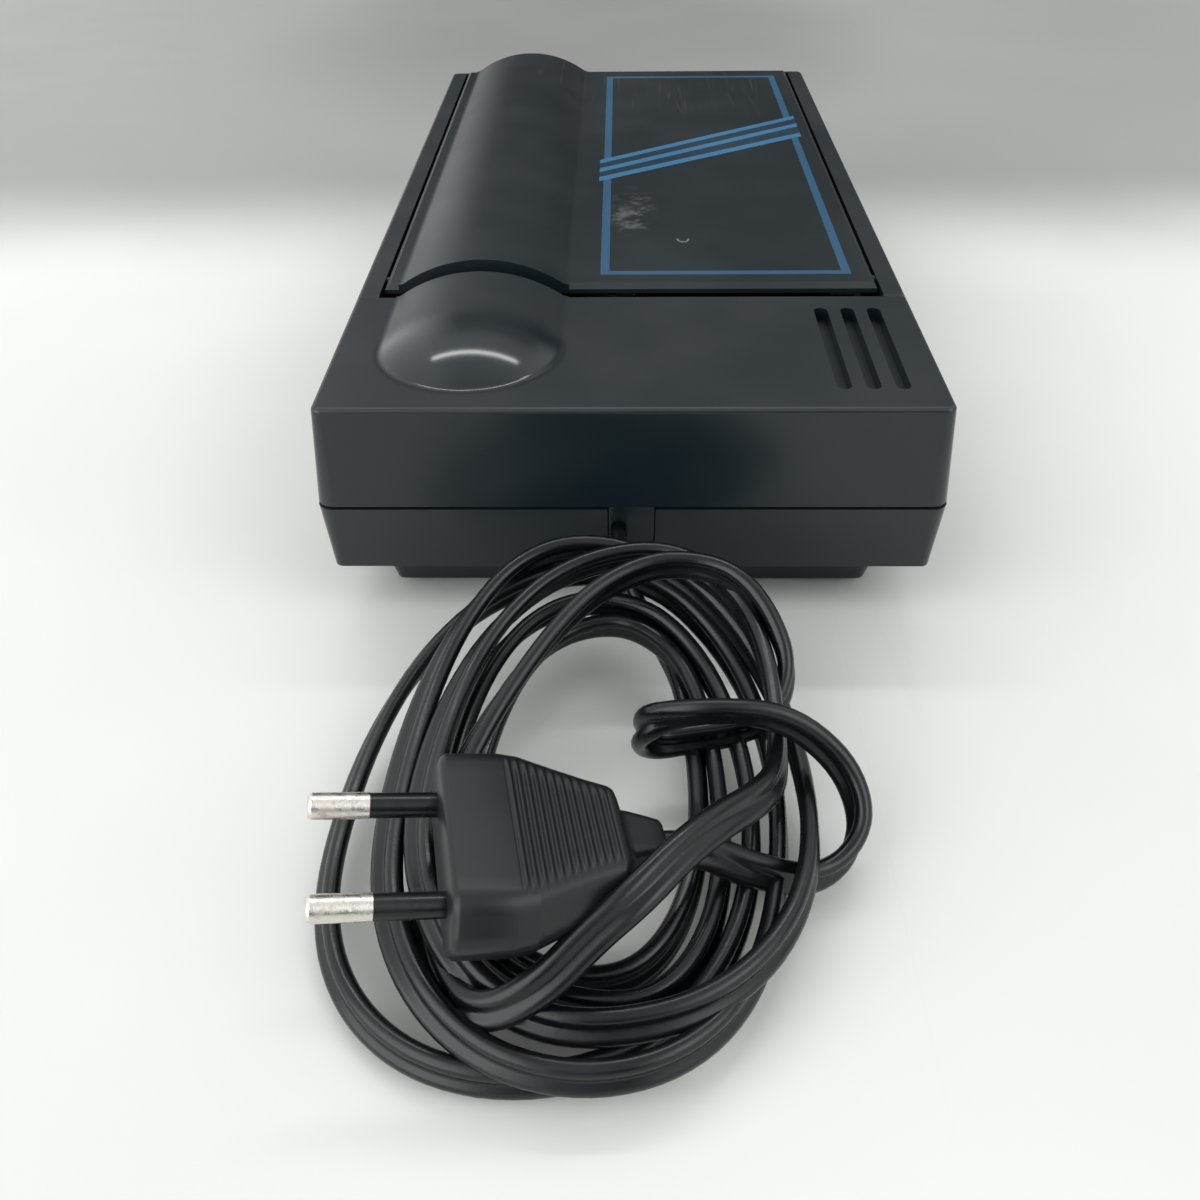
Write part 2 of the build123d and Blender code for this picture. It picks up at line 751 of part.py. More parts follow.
flange_width = 7.0
holder_screw_y = [bay_middle + reach for reach in (-76.4, -6.4, 63.6)]
holder_screw_places = [(side * (holder_outer - 3.4), y) for y in holder_screw_y for side in (-1, 1)]
with BuildPart() as cassette_holder:
    for side in (-1, 1):
        web = sorted((side * (holder_outer - holder_web), side * holder_outer))
        lip = sorted((side * (holder_outer - holder_web - holder_lip), side * holder_outer))
        block(web, holder_y, (holder_bottom, lid_underside))
        block(lip, holder_y, (holder_bottom, cassette_bottom))
        flange = sorted((side * (holder_outer - flange_width), side * holder_outer))
        block(flange, holder_y, (lid_underside - 0.9, lid_underside))
        # Tongue that the latch holds on one side and that works the switch on the other.
        leg = sorted((side * tongue_x[0], side * tongue_x[1]))
        foot = ledge_floor + 0.3 if side > 0 else deck_low
        block(leg, tongue_y, (foot, holder_bottom + 6.0))
    notch = (ledge_floor + 1.0, ledge_floor + 1.0 + catch_height)
    block((tongue_x[0] - 1, tongue_x[1] + 1), (tongue_y[0] - 1, tongue_y[0] + 1.6), notch, mode=Mode.SUBTRACT)
    for side in (-1, 1):
        relief = sorted((side * (holder_outer - holder_web - 0.1), side * (holder_outer + 0.1)))
        block(relief, (hinge_y - 3.4, hinge_y + 3.4), (hinge_z - 3.4, hinge_z + 1.0), mode=Mode.SUBTRACT)
    for place in holder_screw_places:
        post(place, (lid_underside - 1, lid_underside), 0.9, mode=Mode.SUBTRACT)
save(cassette_holder, "cassette_holder")

spring_pitch_y = 55.0
spring_x = (lid_ribs_x[0] - 15.0, lid_ribs_x[0] - 7.0)
with BuildPart() as cassette_springs:
    for y in (bay_middle - spring_pitch_y, bay_middle, bay_middle + spring_pitch_y):
        block(spring_x, (y - 14, y + 14), (lid_underside - 0.4, lid_underside))
        block(spring_x, (y - 5, y + 5), (lid_underside - 1.1, lid_underside - 0.3))
save(cassette_springs, "cassette_springs")

with BuildPart() as hinge_pins:
    for side in (-1, 1):
        span = sorted((side * (holder_outer + 0.3), side * (bay_half_width + inner_wall)))
        cross_rod(span, hinge_y, hinge_z, hinge_pin_radius)
save(hinge_pins, "hinge_pins")

# ------------------------------------------------------------------ release latch
nose_y = tongue_y[0] - catch_gap
front_wall_y = tray_half(latch_low)[1]
with BuildPart() as latch_slide:
    bar_x = (latch_x - latch_width / 2, latch_x + latch_width / 2)
    nose_back = nose_y - 3.0
    block(bar_x, (nose_back, half_length - button_seat), (latch_low, latch_high))
    block((bar_x[0], tongue_x[1]), (nose_back, nose_y), (notch[0] + 0.2, notch[1] - 0.2))
    rod_end = rod_guide_y[0] - 1.5
    with Locations(Location((latch_x, (nose_back + rod_end) / 2, latch_middle), (90, 0, 0))):
        Cylinder(rod_radius, nose_back - rod_end + 2 * joined)
save(latch_slide, "latch_slide")

with BuildPart() as release_button:
    block(button_x, (half_length - button_seat, front_wall_y + button_proud), button_z)
    fillet(release_button.faces().sort_by(Axis.Y)[-1].edges(), 0.7)
    # Lip that keeps the button behind the wall.
    block(
        (button_x[0] - 1.2, button_x[1] + 1.2),
        (half_length - button_seat, half_length - button_seat + 1.1),
        (latch_low, latch_low + button_height - 0.6),
    )
save(release_button, "release_button")

spring_wire = 0.3
spring_radius = 1.95
spring_pitch = 2.2
spring_start = rod_guide_y[1] + spring_wire
spring_length = nose_back - latch_travel - spring_start - 2 * spring_wire - 0.4
with BuildPart() as button_spring:
    with BuildLine() as helix:
        Helix(
            spring_pitch, spring_length, spring_radius,
            center=(latch_x, spring_start, latch_middle), direction=(0, 1, 0),
        )
    with BuildSketch(Plane(helix.line @ 0, z_dir=helix.line % 0)):
        Circle(spring_wire)
    sweep(path=helix.line, is_frenet=True)
save(button_spring, "button_spring")

# ------------------------------------------------------------------ lid switch
switch_x = (-half_width + 4.3, -half_width + 12.8)
switch_y = (tongue_y[0] - 20.0, tongue_y[0] - 10.0)
switch_top = ledge_floor + 1.6
leaf_thickness = 0.4
with BuildPart() as lid_switch:
    block(switch_x, switch_y, (ledge_floor, switch_top))
    block((switch_x[0], switch_x[0] + 2.9), (switch_y[0], switch_y[0] + 4.0), (ledge_floor, switch_top + 0.6))
save(lid_switch, "lid_switch")
with BuildPart() as switch_leaf:
    leaf_x = (-tongue_x[1] - 0.8, -tongue_x[0] - 0.1)
    block(leaf_x, (switch_y[0] + 2.0, tongue_y[1] - 0.5), (switch_top, switch_top + leaf_thickness))
save(switch_leaf, "switch_leaf")

# ------------------------------------------------------------------ spindles and gears
hub_low = {"drive": boss_tops["drive"] + 0.2, "free": boss_tops["free"] + 0.2}
hub_top = platform_top + spindle_rise


def spindle(place, low, flange):
    """Reel spindle: hub, ribs that drive the reel, pointed top and bore."""
    post(place, (low, hub_top - 2.0), spindle_hub_radius)
    with Locations((*place, hub_top - 1.0)):
        Cone(spindle_hub_radius, spindle_hub_radius - 3.0, 2.0)
    with BuildSketch(Plane.XY.offset(platform_top - 0.5)) as ribs:
        with Locations(place):
            with PolarLocations(0, spline_count):
                with Locations((spline_radius / 2, 0)):
                    Rectangle(spline_radius, 2.4)
    extrude(ribs.sketch, amount=spindle_rise - 2.0)
    if flange:
        post(place, flange, flange_radius)
    post(place, (low - 1, hub_top + 1), axle_radius + running_gap, mode=Mode.SUBTRACT)


with BuildPart() as drive_spindle:
    spindle(drive_place, hub_low["drive"], None)
save(drive_spindle, "drive_spindle")

mesh_angle = atan2(wheel_place[1] - drive_place[1], wheel_place[0] - drive_place[0]) * 180 / pi
gear_span = (gear_low, gear_low + gear_width)
with BuildPart() as drive_gear:
    gear_ring(drive_place, gear_span, spindle_teeth, mesh_angle)
    post(drive_place, (gear_low - 1, gear_span[1] + 1), spindle_hub_radius + press_gap, mode=Mode.SUBTRACT)
    with BuildSketch(Plane.XY.offset(gear_low - 1)) as windows:
        with Locations(drive_place):
            with PolarLocations(15.5, 6, start_angle=mesh_angle):
                Circle(3.6)
    extrude(windows.sketch, amount=gear_width + 2, mode=Mode.SUBTRACT)
save(drive_gear, "drive_gear")

free_flange = (gear_low - 1.0, gear_low + 1.0)
with BuildPart() as free_spindle:
    spindle(free_place, hub_low["free"], free_flange)
save(free_spindle, "free_spindle")

with BuildPart() as spindle_caps:
    for place in (drive_place, free_place):
        post(place, (hub_top + 0.15, axle_tops["drive"] + 0.8), 2 * axle_radius)
        post(place, (hub_top, axle_tops["drive"]), axle_radius, mode=Mode.SUBTRACT)
save(spindle_caps, "spindle_caps")

with BuildPart() as axles:
    for name, place in axle_bosses.items():
        post(place, (tray_floor + joined, axle_tops[name]), axle_radius)
save(axles, "axles")


def pulley(place, low, groove_radius):
    """Belt pulley with a square groove between two flanges."""
    flange = groove_radius + flange_height
    groove = (pulley_width - belt_width) / 2 - 0.2
    post(place, (low, low + groove), flange)
    post(place, (low, low + pulley_width), groove_radius)
    post(place, (low + pulley_width - groove, low + pulley_width), flange)


with BuildPart() as belt_wheel:
    pulley(wheel_place, pulley_height, wheel_groove_radius)
    post(wheel_place, (pulley_height, gear_low), 6.0)
    gear_ring(wheel_place, gear_span, pinion_teeth, mesh_angle + 180 + 180 / pinion_teeth)
    post(wheel_place, (pulley_height - 1, gear_span[1] + 1), axle_radius + running_gap, mode=Mode.SUBTRACT)
save(belt_wheel, "belt_wheel")

with BuildPart() as motor_pulley:
    pulley(motor_place, pulley_height, motor_groove_radius)
    post(motor_place, (pulley_height - 1, pulley_height + 10), shaft_radius + 0.01, mode=Mode.SUBTRACT)
save(motor_pulley, "motor_pulley")


def belt_face(offset):
    """Outline of the belt at a distance outside its pulleys' grooves."""
    with BuildSketch(Plane.XY.offset(pulley_height + (pulley_width - belt_width) / 2)) as face:
        with Locations(motor_place):
            Circle(motor_groove_radius + offset)
        with Locations(wheel_place):
            Circle(wheel_groove_radius + offset)
        make_hull()
    return face.sketch


belt_play = 0.2
with BuildPart() as drive_belt:
    extrude(belt_face(belt_play + belt_thickness), amount=belt_width)
    extrude(belt_face(belt_play), amount=belt_width, mode=Mode.SUBTRACT)
save(drive_belt, "drive_belt")

# ------------------------------------------------------------------ motor
with BuildPart() as motor_can:
    motor_top = motor_seat + motor_length
    post(motor_place, (motor_seat, motor_top), motor_radius)
    fillet(motor_can.faces().sort_by(Axis.Z)[-1].edges(), 1.5)
    post(motor_place, (motor_top - 1, motor_top + 1.6), 4.0)
    post(motor_place, (motor_seat - 1.6, motor_seat + 1), 3.5)
    post(motor_place, (motor_seat - 2, motor_top - 4), shaft_radius + running_gap, mode=Mode.SUBTRACT)
save(motor_can, "motor_can")

with BuildPart() as motor_shaft:
    post(motor_place, (pulley_height - 0.8, motor_top - 5), shaft_radius)
save(motor_shaft, "motor_shaft")

with BuildPart() as motor_bracket:
    with BuildSketch(Plane.XY.offset(motor_plate[0])) as plate:
        with Locations(motor_place):
            Circle(motor_radius - 1)
        for place in motor_posts:
            with Locations(place):
                Circle(4.0)
        make_hull()
        with Locations(motor_place):
            Circle(3.8, mode=Mode.SUBTRACT)
        with Locations(*motor_posts):
            Circle(screw_shank + screw_gap, mode=Mode.SUBTRACT)
    extrude(plate.sketch, amount=motor_plate[1] - motor_plate[0])
save(motor_bracket, "motor_bracket")

with BuildPart() as motor_screws:
    for place in motor_posts:
        small_screw(place, motor_plate[1], motor_plate[0])
save(motor_screws, "motor_screws")

# ------------------------------------------------------------------ brake lever
brake_gap = 0.5
lever_thickness = 1.6
lever_way = (Vector(*free_place) - Vector(*lever_place)).normalized()
pad_middle = Vector(*free_place) - lever_way * (flange_radius + brake_gap + 1.5)
with BuildPart() as brake_lever:
    with BuildSketch(Plane.XY.offset(lever_low)) as arm:
        with Locations(lever_place):
            Circle(4.0)
        with Locations((pad_middle.X, pad_middle.Y)):
            Circle(2.6)
        make_hull()
    extrude(arm.sketch, amount=lever_thickness)
    with BuildSketch(Plane.XY.offset(lever_low)) as tail:
        with Locations(lever_place):
            Circle(3.0)
        with Locations((lever_place[0] + 15.0, lever_place[1] - 4.0)):
            Circle(2.0)
        make_hull()
    extrude(tail.sketch, amount=lever_thickness)
    post(lever_place, (lever_low, lever_low + 3.4), 3.4)
    post(lever_place, (lever_low - 1, lever_low + 4), axle_radius + running_gap, mode=Mode.SUBTRACT)
save(brake_lever, "brake_lever")

with BuildPart() as brake_pad:
    turn = atan2(lever_way.Y, lever_way.X) * 180 / pi
    pad_place = Location((pad_middle.X, pad_middle.Y, gear_low), (0, 0, turn))
    with Locations(pad_place):
        Box(3.0, 6.0, 2 * (gear_low - lever_low - lever_thickness))
save(brake_pad, "brake_pad")

# ------------------------------------------------------------------ mains transformer
window = 6.0
leg = 6.0
with BuildPart() as transformer_core:
    block(core_x, core_y, (core_low, core_top))
    for side in (-1, 1):
        middle = core_middle[1] + side * (leg + window / 2)
        block(
            (core_x[0] - 1, core_x[1] + 1),
            (middle - window / 2, middle + window / 2),
            (core_low + leg, core_top - leg),
            mode=Mode.SUBTRACT,
        )
save(transformer_core, "transformer_core")

with BuildPart() as transformer_winding:
    reach = leg + window - 0.3
    block(
        (core_x[0] - bobbin_reach, core_x[1] + bobbin_reach),
        (core_middle[1] - reach, core_middle[1] + reach),
        (core_low + leg + 0.3, core_top - leg - 0.3),
    )
    fillet(transformer_winding.edges().filter_by(Axis.Z), 2.0)
    block(
        (core_x[0] - 0.1, core_x[1] + 0.1),
        (core_middle[1] - leg - 0.1, core_middle[1] + leg + 0.1),
        (core_low + leg - 1, core_top),
        mode=Mode.SUBTRACT,
    )
save(transformer_winding, "transformer_winding")

strap = 1.2
with BuildPart() as transformer_bracket:
    half_strap = 10.0
    strap_x = (core_middle[0] - half_strap, core_middle[0] + half_strap)
    block(strap_x, (core_y[0] - strap, core_y[1] + strap), (core_low, core_top + strap))
    block(
        (core_x[0] - 1, core_x[1] + 1),
        (core_y[0] - running_gap, core_y[1] + running_gap),
        (core_low - 1, core_top + running_gap),
        mode=Mode.SUBTRACT,
    )
    for (x, y), (inner, outer) in zip(core_posts, ((core_y[0], -1), (core_y[1], 1))):
        ear = sorted((inner + outer * running_gap, y + outer * heavy_post_radius))
        block((x - 4, x + 4), ear, (core_low, core_low + strap))
        post((x, y), (core_low, core_low + strap), screw_shank + screw_gap, mode=Mode.SUBTRACT)
save(transformer_bracket, "transformer_bracket")

with BuildPart() as transformer_screws:
    for place in core_posts:
        small_screw(place, core_low + strap, core_low)
save(transformer_screws, "transformer_screws")

# ------------------------------------------------------------------ circuit board
board_top = board_low + board_thickness
with BuildPart() as circuit_board:
    with BuildSketch(Plane.XY.offset(board_low)) as outline:
        with Locations(board_middle):
            RectangleRounded(*board_size, 1.0)
        with Locations(*board_posts):
            Circle(screw_shank + screw_gap, mode=Mode.SUBTRACT)
    extrude(outline.sketch, amount=board_thickness)
save(circuit_board, "circuit_board")

with BuildPart() as board_screws:
    for place in board_posts:
        small_screw(place, board_top, board_low)
save(board_screws, "board_screws")

capacitor_place = (board_middle[0] - 4.5, board_middle[1] + 5.0)
capacitor_radius = 5.0
capacitor_height = 20.0
with BuildPart() as capacitor:
    post(capacitor_place, (board_top, board_top + capacitor_height), capacitor_radius)
    fillet(capacitor.faces().sort_by(Axis.Z)[-1].edges(), 0.8)
save(capacitor, "capacitor")

diode_pitch = 4.0
diode_radius = 1.35
diode_length = 5.2
diode_place = (board_middle[0] + 6.5, board_middle[1] + 3.0)
with BuildPart() as diodes:
    with Locations((*diode_place, board_top + diode_radius + 0.05)):
        with GridLocations(0, diode_pitch, 1, 4):
            Cylinder(diode_radius, diode_length, rotation=(0, 90, 0))
    fillet(diodes.edges(), 0.3)
save(diodes, "diodes")

fuse_place = (board_middle[0] - 4.0, board_middle[1] - 6.5)
fuse_length = 15.0
fuse_radius = 2.6
clip_length = 3.0
with BuildPart() as fuse:
    with Locations(Location((*fuse_place, board_top + fuse_radius + 0.6), (0, 90, 0))):
        Cylinder(fuse_radius, fuse_length)
    for side in (-1, 1):
        end = fuse_place[0] + side * fuse_length / 2
        clip = sorted((end - side * clip_length, end))
        block(clip, (fuse_place[1] - 3.0, fuse_place[1] + 3.0), (board_top, board_top + fuse_radius))
save(fuse, "fuse")

# ------------------------------------------------------------------ cord inside the case
with BuildPart() as cord_clamp:
    clamp_z = (clamp_low, clamp_low + clamp_thickness)
    block((clamp_posts[0][0] - 2.6, clamp_posts[1][0] + 2.6), clamp_y, clamp_z)
    for place in clamp_posts:
        post(place, clamp_z, screw_shank + screw_gap, mode=Mode.SUBTRACT)
save(cord_clamp, "cord_clamp")

with BuildPart() as clamp_screws:
    for place in clamp_posts:
        small_screw(place, clamp_z[1], clamp_low)
save(clamp_screws, "clamp_screws")

cord_exit = Vector(cord_slot_x, -tray_half(cord_height)[1] - 0.4, cord_height)
lead_end_y = rear + 12.4
with BuildPart() as inner_lead:
    with BuildSketch(Plane.XZ.offset(-lead_end_y)) as lead_face:
        with Locations((cord_slot_x, cord_height)):
            SlotOverall(cord_width, cord_thickness, rotation=90)
    extrude(lead_face.sketch, amount=lead_end_y - cord_exit.Y)
save(inner_lead, "inner_lead")

wire_radius = 0.8
strand_offset = cord_width / 4
with BuildPart() as mains_wires:
    for side, goal_y in ((-1, core_middle[1] - 7.0), (1, core_middle[1] - 1.0)):
        start = Vector(cord_slot_x, lead_end_y, cord_height + side * strand_offset)
        level = core_low + core_height / 2 + side * 3.0
        goal = Vector(core_x[0] - bobbin_reach, goal_y, level + 6.0)
        route = [
            start,
            start + Vector(0, 5.0, 0),
            start + Vector(6.0, 9.0, 4.0 + side),
            goal + Vector(-5.0, 0, 0),
            goal,
        ]
        tube(route, bend_radii(route), wire_radius)
save(mains_wires, "mains_wires")

with BuildPart() as motor_wires:
    for side in (-1, 1):
        start = Vector(motor_place[0] + motor_radius, motor_place[1] + 2.0 * side + 4.0, 30.0)
        board_edge = board_middle[0] - board_size[0] / 2
        goal = Vector(board_edge + 1.5, board_middle[1] + 12.0 + 2.0 * side, board_top)
        route = [
            start,
            Vector((start.X + goal.X) / 2, start.Y, start.Z),
            goal + Vector(0, 0, 6.0),
            goal,
        ]
        tube(route, bend_radii(route), wire_radius)
save(motor_wires, "motor_wires")


# ------------------------------------------------------------------ coil of cord
def coil_point(turn):
    """Point of the coil's centre line after a number of turns, clockwise from above."""
    reverse_end = lower_turns + 0.5
    if turn < lower_turns:
        inward = lower_turns - turn
        climb = 0.0
    elif turn < reverse_end:
        inward = 0.0
        share = (turn - lower_turns) / 0.5
        climb = share * share * (3 - 2 * share)
    else:
        inward = turn - reverse_end
        climb = 1.0
    angle = 2 * pi * turn + pi / 2
    x = coil_x + (coil_half_width - coil_pitch * inward) * sin(angle)
    y = coil_y + (coil_half_length - coil_pitch * inward) * cos(angle)
    near = coil_y - coil_half_length
    z = cord_radius + 0.05 + coil_slope * (y - near) + layer_rise * climb
    return Vector(x, y, z)


def coil_way(turn, small=1e-4):
    """Direction of the coil's centre line."""
    return (coil_point(turn + small) - coil_point(turn - small)).normalized()


def biarc(start, start_way, end, end_way):
    """Two tangent arcs from one place and direction to another."""
    chord = end - start
    both = start_way + end_way
    square = 4 - both.dot(both)
    mixed = 2 * chord.dot(both)
    reach = (sqrt(mixed**2 + 4 * square * chord.dot(chord)) - mixed) / (2 * square)
    first = start + start_way * reach
    second = end - end_way * reach
    joint = (first + second) * 0.5
    TangentArc(start, joint, tangent=start_way)
    TangentArc(joint, end, tangent=second - first)


coil_turns = lower_turns + 0.5 + upper_turns
coil_steps = round(coil_turns * steps_per_turn)
with BuildPart() as cord_coil:
    with BuildLine() as winding:
        marks = [step * coil_turns / coil_steps for step in range(coil_steps + 1)]
        for one, two in zip(marks, marks[1:]):
            biarc(coil_point(one), coil_way(one), coil_point(two), coil_way(two))
    coil_line = winding.wire()
    with BuildSketch(Plane(coil_line @ 0, z_dir=coil_line % 0)) as coil_face:
        Circle(cord_radius)
    sweep(coil_face.sketch, path=coil_line)
save(cord_coil, "cord_coil")


def least_gap(line, radius):
    """Least gap of a tube to itself, from points a millimetre apart."""
    count = int(line.length)
    spots = [line @ (index / count) for index in range(count + 1)]
    skip = int(6 * radius)
    gap = 1e9
    for index, spot in enumerate(spots):
        for other in spots[index + skip:]:
            gap = min(gap, (spot - other).length)
    return gap - 2 * radius


print("coil length", round(coil_line.length, 1), "least gap", round(least_gap(coil_line, cord_radius), 2))

# ------------------------------------------------------------------ free ends of the cord
coil_start = coil_line @ 0
coil_start_way = coil_line % 0
coil_end = coil_line @ 1
coil_end_way = coil_line % 1
lead_points = [
    cord_exit,
    Vector(-2.6, -133.5, 21.6),
    Vector(-2.4, -146.0, 15.0),
    Vector(0.0, -159.0, 12.2),
    Vector(4.0, -170.0, 12.6),
    coil_start - coil_start_way * 9.0,
    coil_start,
]
turn_angle = plug_turn * pi / 180
dip_angle = plug_dip * pi / 180
plug_way = Vector(cos(turn_angle) * cos(dip_angle), sin(turn_angle) * cos(dip_angle), -sin(dip_angle))
collar_end = plug_front + plug_way * (plug_straight + plug_taper + collar_length)
tail_points = [
    coil_end,
    coil_end + coil_end_way * 6.5,
    Vector(4.0, -168.0, 28.0),
    Vector(14.0, -173.0, 28.0),
    Vector(26.0, -178.5, 26.8),
    Vector(36.5, -185.0, 24.3),
    Vector(39.0, -195.5, 21.8),
    Vector(32.5, -203.8, 20.8),
    Vector(23.0, -206.2, 21.4),
    collar_end + plug_way * 8.5,
    collar_end,
]
for name, points in (("cord_lead", lead_points), ("cord_tail", tail_points)):
    radii = bend_radii(points)
    with BuildPart() as cord:
        length = tube(points, radii, cord_radius)
    area = pi * cord_radius**2
    print(name, "length", round(length, 1), "radii", [round(radius, 1) for radius in radii],
          "volume ratio", round(cord.part.volume / (area * length), 4))
    save(cord, name)

# ------------------------------------------------------------------ plug
plug_across = Vector(-sin(turn_angle), cos(turn_angle), 0)
plug_plane = Plane(plug_front, x_dir=plug_way, z_dir=plug_way.cross(plug_across))


def plug_section(along, full_width, face_width, thickness):
    """Six-sided section of the plug body at a distance behind its face."""
    place = Plane(plug_front + plug_way * along, x_dir=plug_across, z_dir=plug_way)
    with BuildSketch(place) as face:
        with BuildLine():
            Polyline(
                (full_width / 2, 0),
                (face_width / 2, thickness / 2),
                (-face_width / 2, thickness / 2),
                (-full_width / 2, 0),
                (-face_width / 2, -thickness / 2),
                (face_width / 2, -thickness / 2),
                close=True,
            )
        make_face()
    return face.sketch


with BuildPart() as plug_body:
    body_end = plug_straight + plug_taper
    front_face = plug_section(0.0, plug_width, plug_face_width, plug_thickness)
    bend_face = plug_section(plug_straight, plug_width, plug_face_width, plug_thickness)
    back_face = plug_section(body_end, 21.0, 16.0, 11.6)
    loft([front_face, bend_face], ruled=True)
    loft([bend_face, back_face], ruled=True)
    collar_face = plug_section(body_end, 11.0, 8.6, 8.8)
    collar_tip = plug_section(body_end + collar_length, 9.0, 6.6, 6.4)
    loft([collar_face, collar_tip], ruled=True)
    sleeve_radius = pin_radius - 0.1
    for side in (-1, 1):
        place = plug_plane.location * Location((4.0, side * pin_pitch / 2, 0), (0, 90, 0))
        with Locations(place):
            Cylinder(sleeve_radius, 8.0, mode=Mode.SUBTRACT)
save(plug_body, "plug_body")


def along_pin(start, end, radius, mode=Mode.ADD):
    """Round rod along both pins, between two distances in front of the plug face."""
    for side in (-1, 1):
        middle = -(start + end) / 2
        place = plug_plane.location * Location((middle, side * pin_pitch / 2, 0), (0, 90, 0))
        with Locations(place):
            Cylinder(radius, end - start, mode=mode)


with BuildPart() as plug_sleeves:
    along_pin(-6.0, pin_sleeve, sleeve_radius)
    along_pin(-7.0, pin_sleeve + 1, sleeve_radius - 0.4, mode=Mode.SUBTRACT)
save(plug_sleeves, "plug_sleeves")

with BuildPart() as plug_pins:
    along_pin(-6.0, pin_sleeve, sleeve_radius - 0.4)
    along_pin(pin_sleeve, pin_length, pin_radius)
    tips = plug_pins.edges().filter_by(GeomType.CIRCLE).group_by(Axis(plug_front, plug_way))[0]
    fillet(tips, 0.8)
save(plug_pins, "plug_pins")
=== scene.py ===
"""Looks of a video cassette rewinder: materials, mains cord, plug, floor, light and camera.

Places are in metres in the part's own frame: +X right, -Y towards the camera and the cord, +Z up.
Sizes written in millimetres go through mm().
"""

import json
from math import cos, pi, radians, sin

import bmesh
import bpy
import numpy as np
from mathutils import Matrix, Vector


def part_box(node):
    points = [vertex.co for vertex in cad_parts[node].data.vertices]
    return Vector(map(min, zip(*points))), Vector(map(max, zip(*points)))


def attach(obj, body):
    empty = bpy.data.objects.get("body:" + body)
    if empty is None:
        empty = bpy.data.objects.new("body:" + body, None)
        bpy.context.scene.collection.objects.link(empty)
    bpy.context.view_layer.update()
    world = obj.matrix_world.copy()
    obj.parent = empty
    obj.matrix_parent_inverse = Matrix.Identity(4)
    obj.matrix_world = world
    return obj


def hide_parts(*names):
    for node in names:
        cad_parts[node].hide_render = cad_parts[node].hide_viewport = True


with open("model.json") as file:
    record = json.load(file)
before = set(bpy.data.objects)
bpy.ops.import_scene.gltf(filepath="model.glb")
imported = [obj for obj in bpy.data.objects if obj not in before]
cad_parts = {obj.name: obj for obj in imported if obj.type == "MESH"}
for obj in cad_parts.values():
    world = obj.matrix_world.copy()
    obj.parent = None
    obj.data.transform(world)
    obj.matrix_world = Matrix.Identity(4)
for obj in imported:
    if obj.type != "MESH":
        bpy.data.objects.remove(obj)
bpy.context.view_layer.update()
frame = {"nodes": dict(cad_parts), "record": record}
nodes = frame["nodes"]


def mm(*values):
    """Point in metres from millimetres."""
    return Vector(values) * 0.001


# ------------------------------------------------------------------ sizes taken from the case
CASE_HALF_LENGTH = 0.1244
HUMP_X = -0.034
# The hump ends in a quarter ball this far from the case's rear end.
DOME_FROM_REAR = 0.0265
DOME_RADIUS = 0.02
# Half the width over which a printed or metal edge fades
SOFT_EDGE = 0.0001


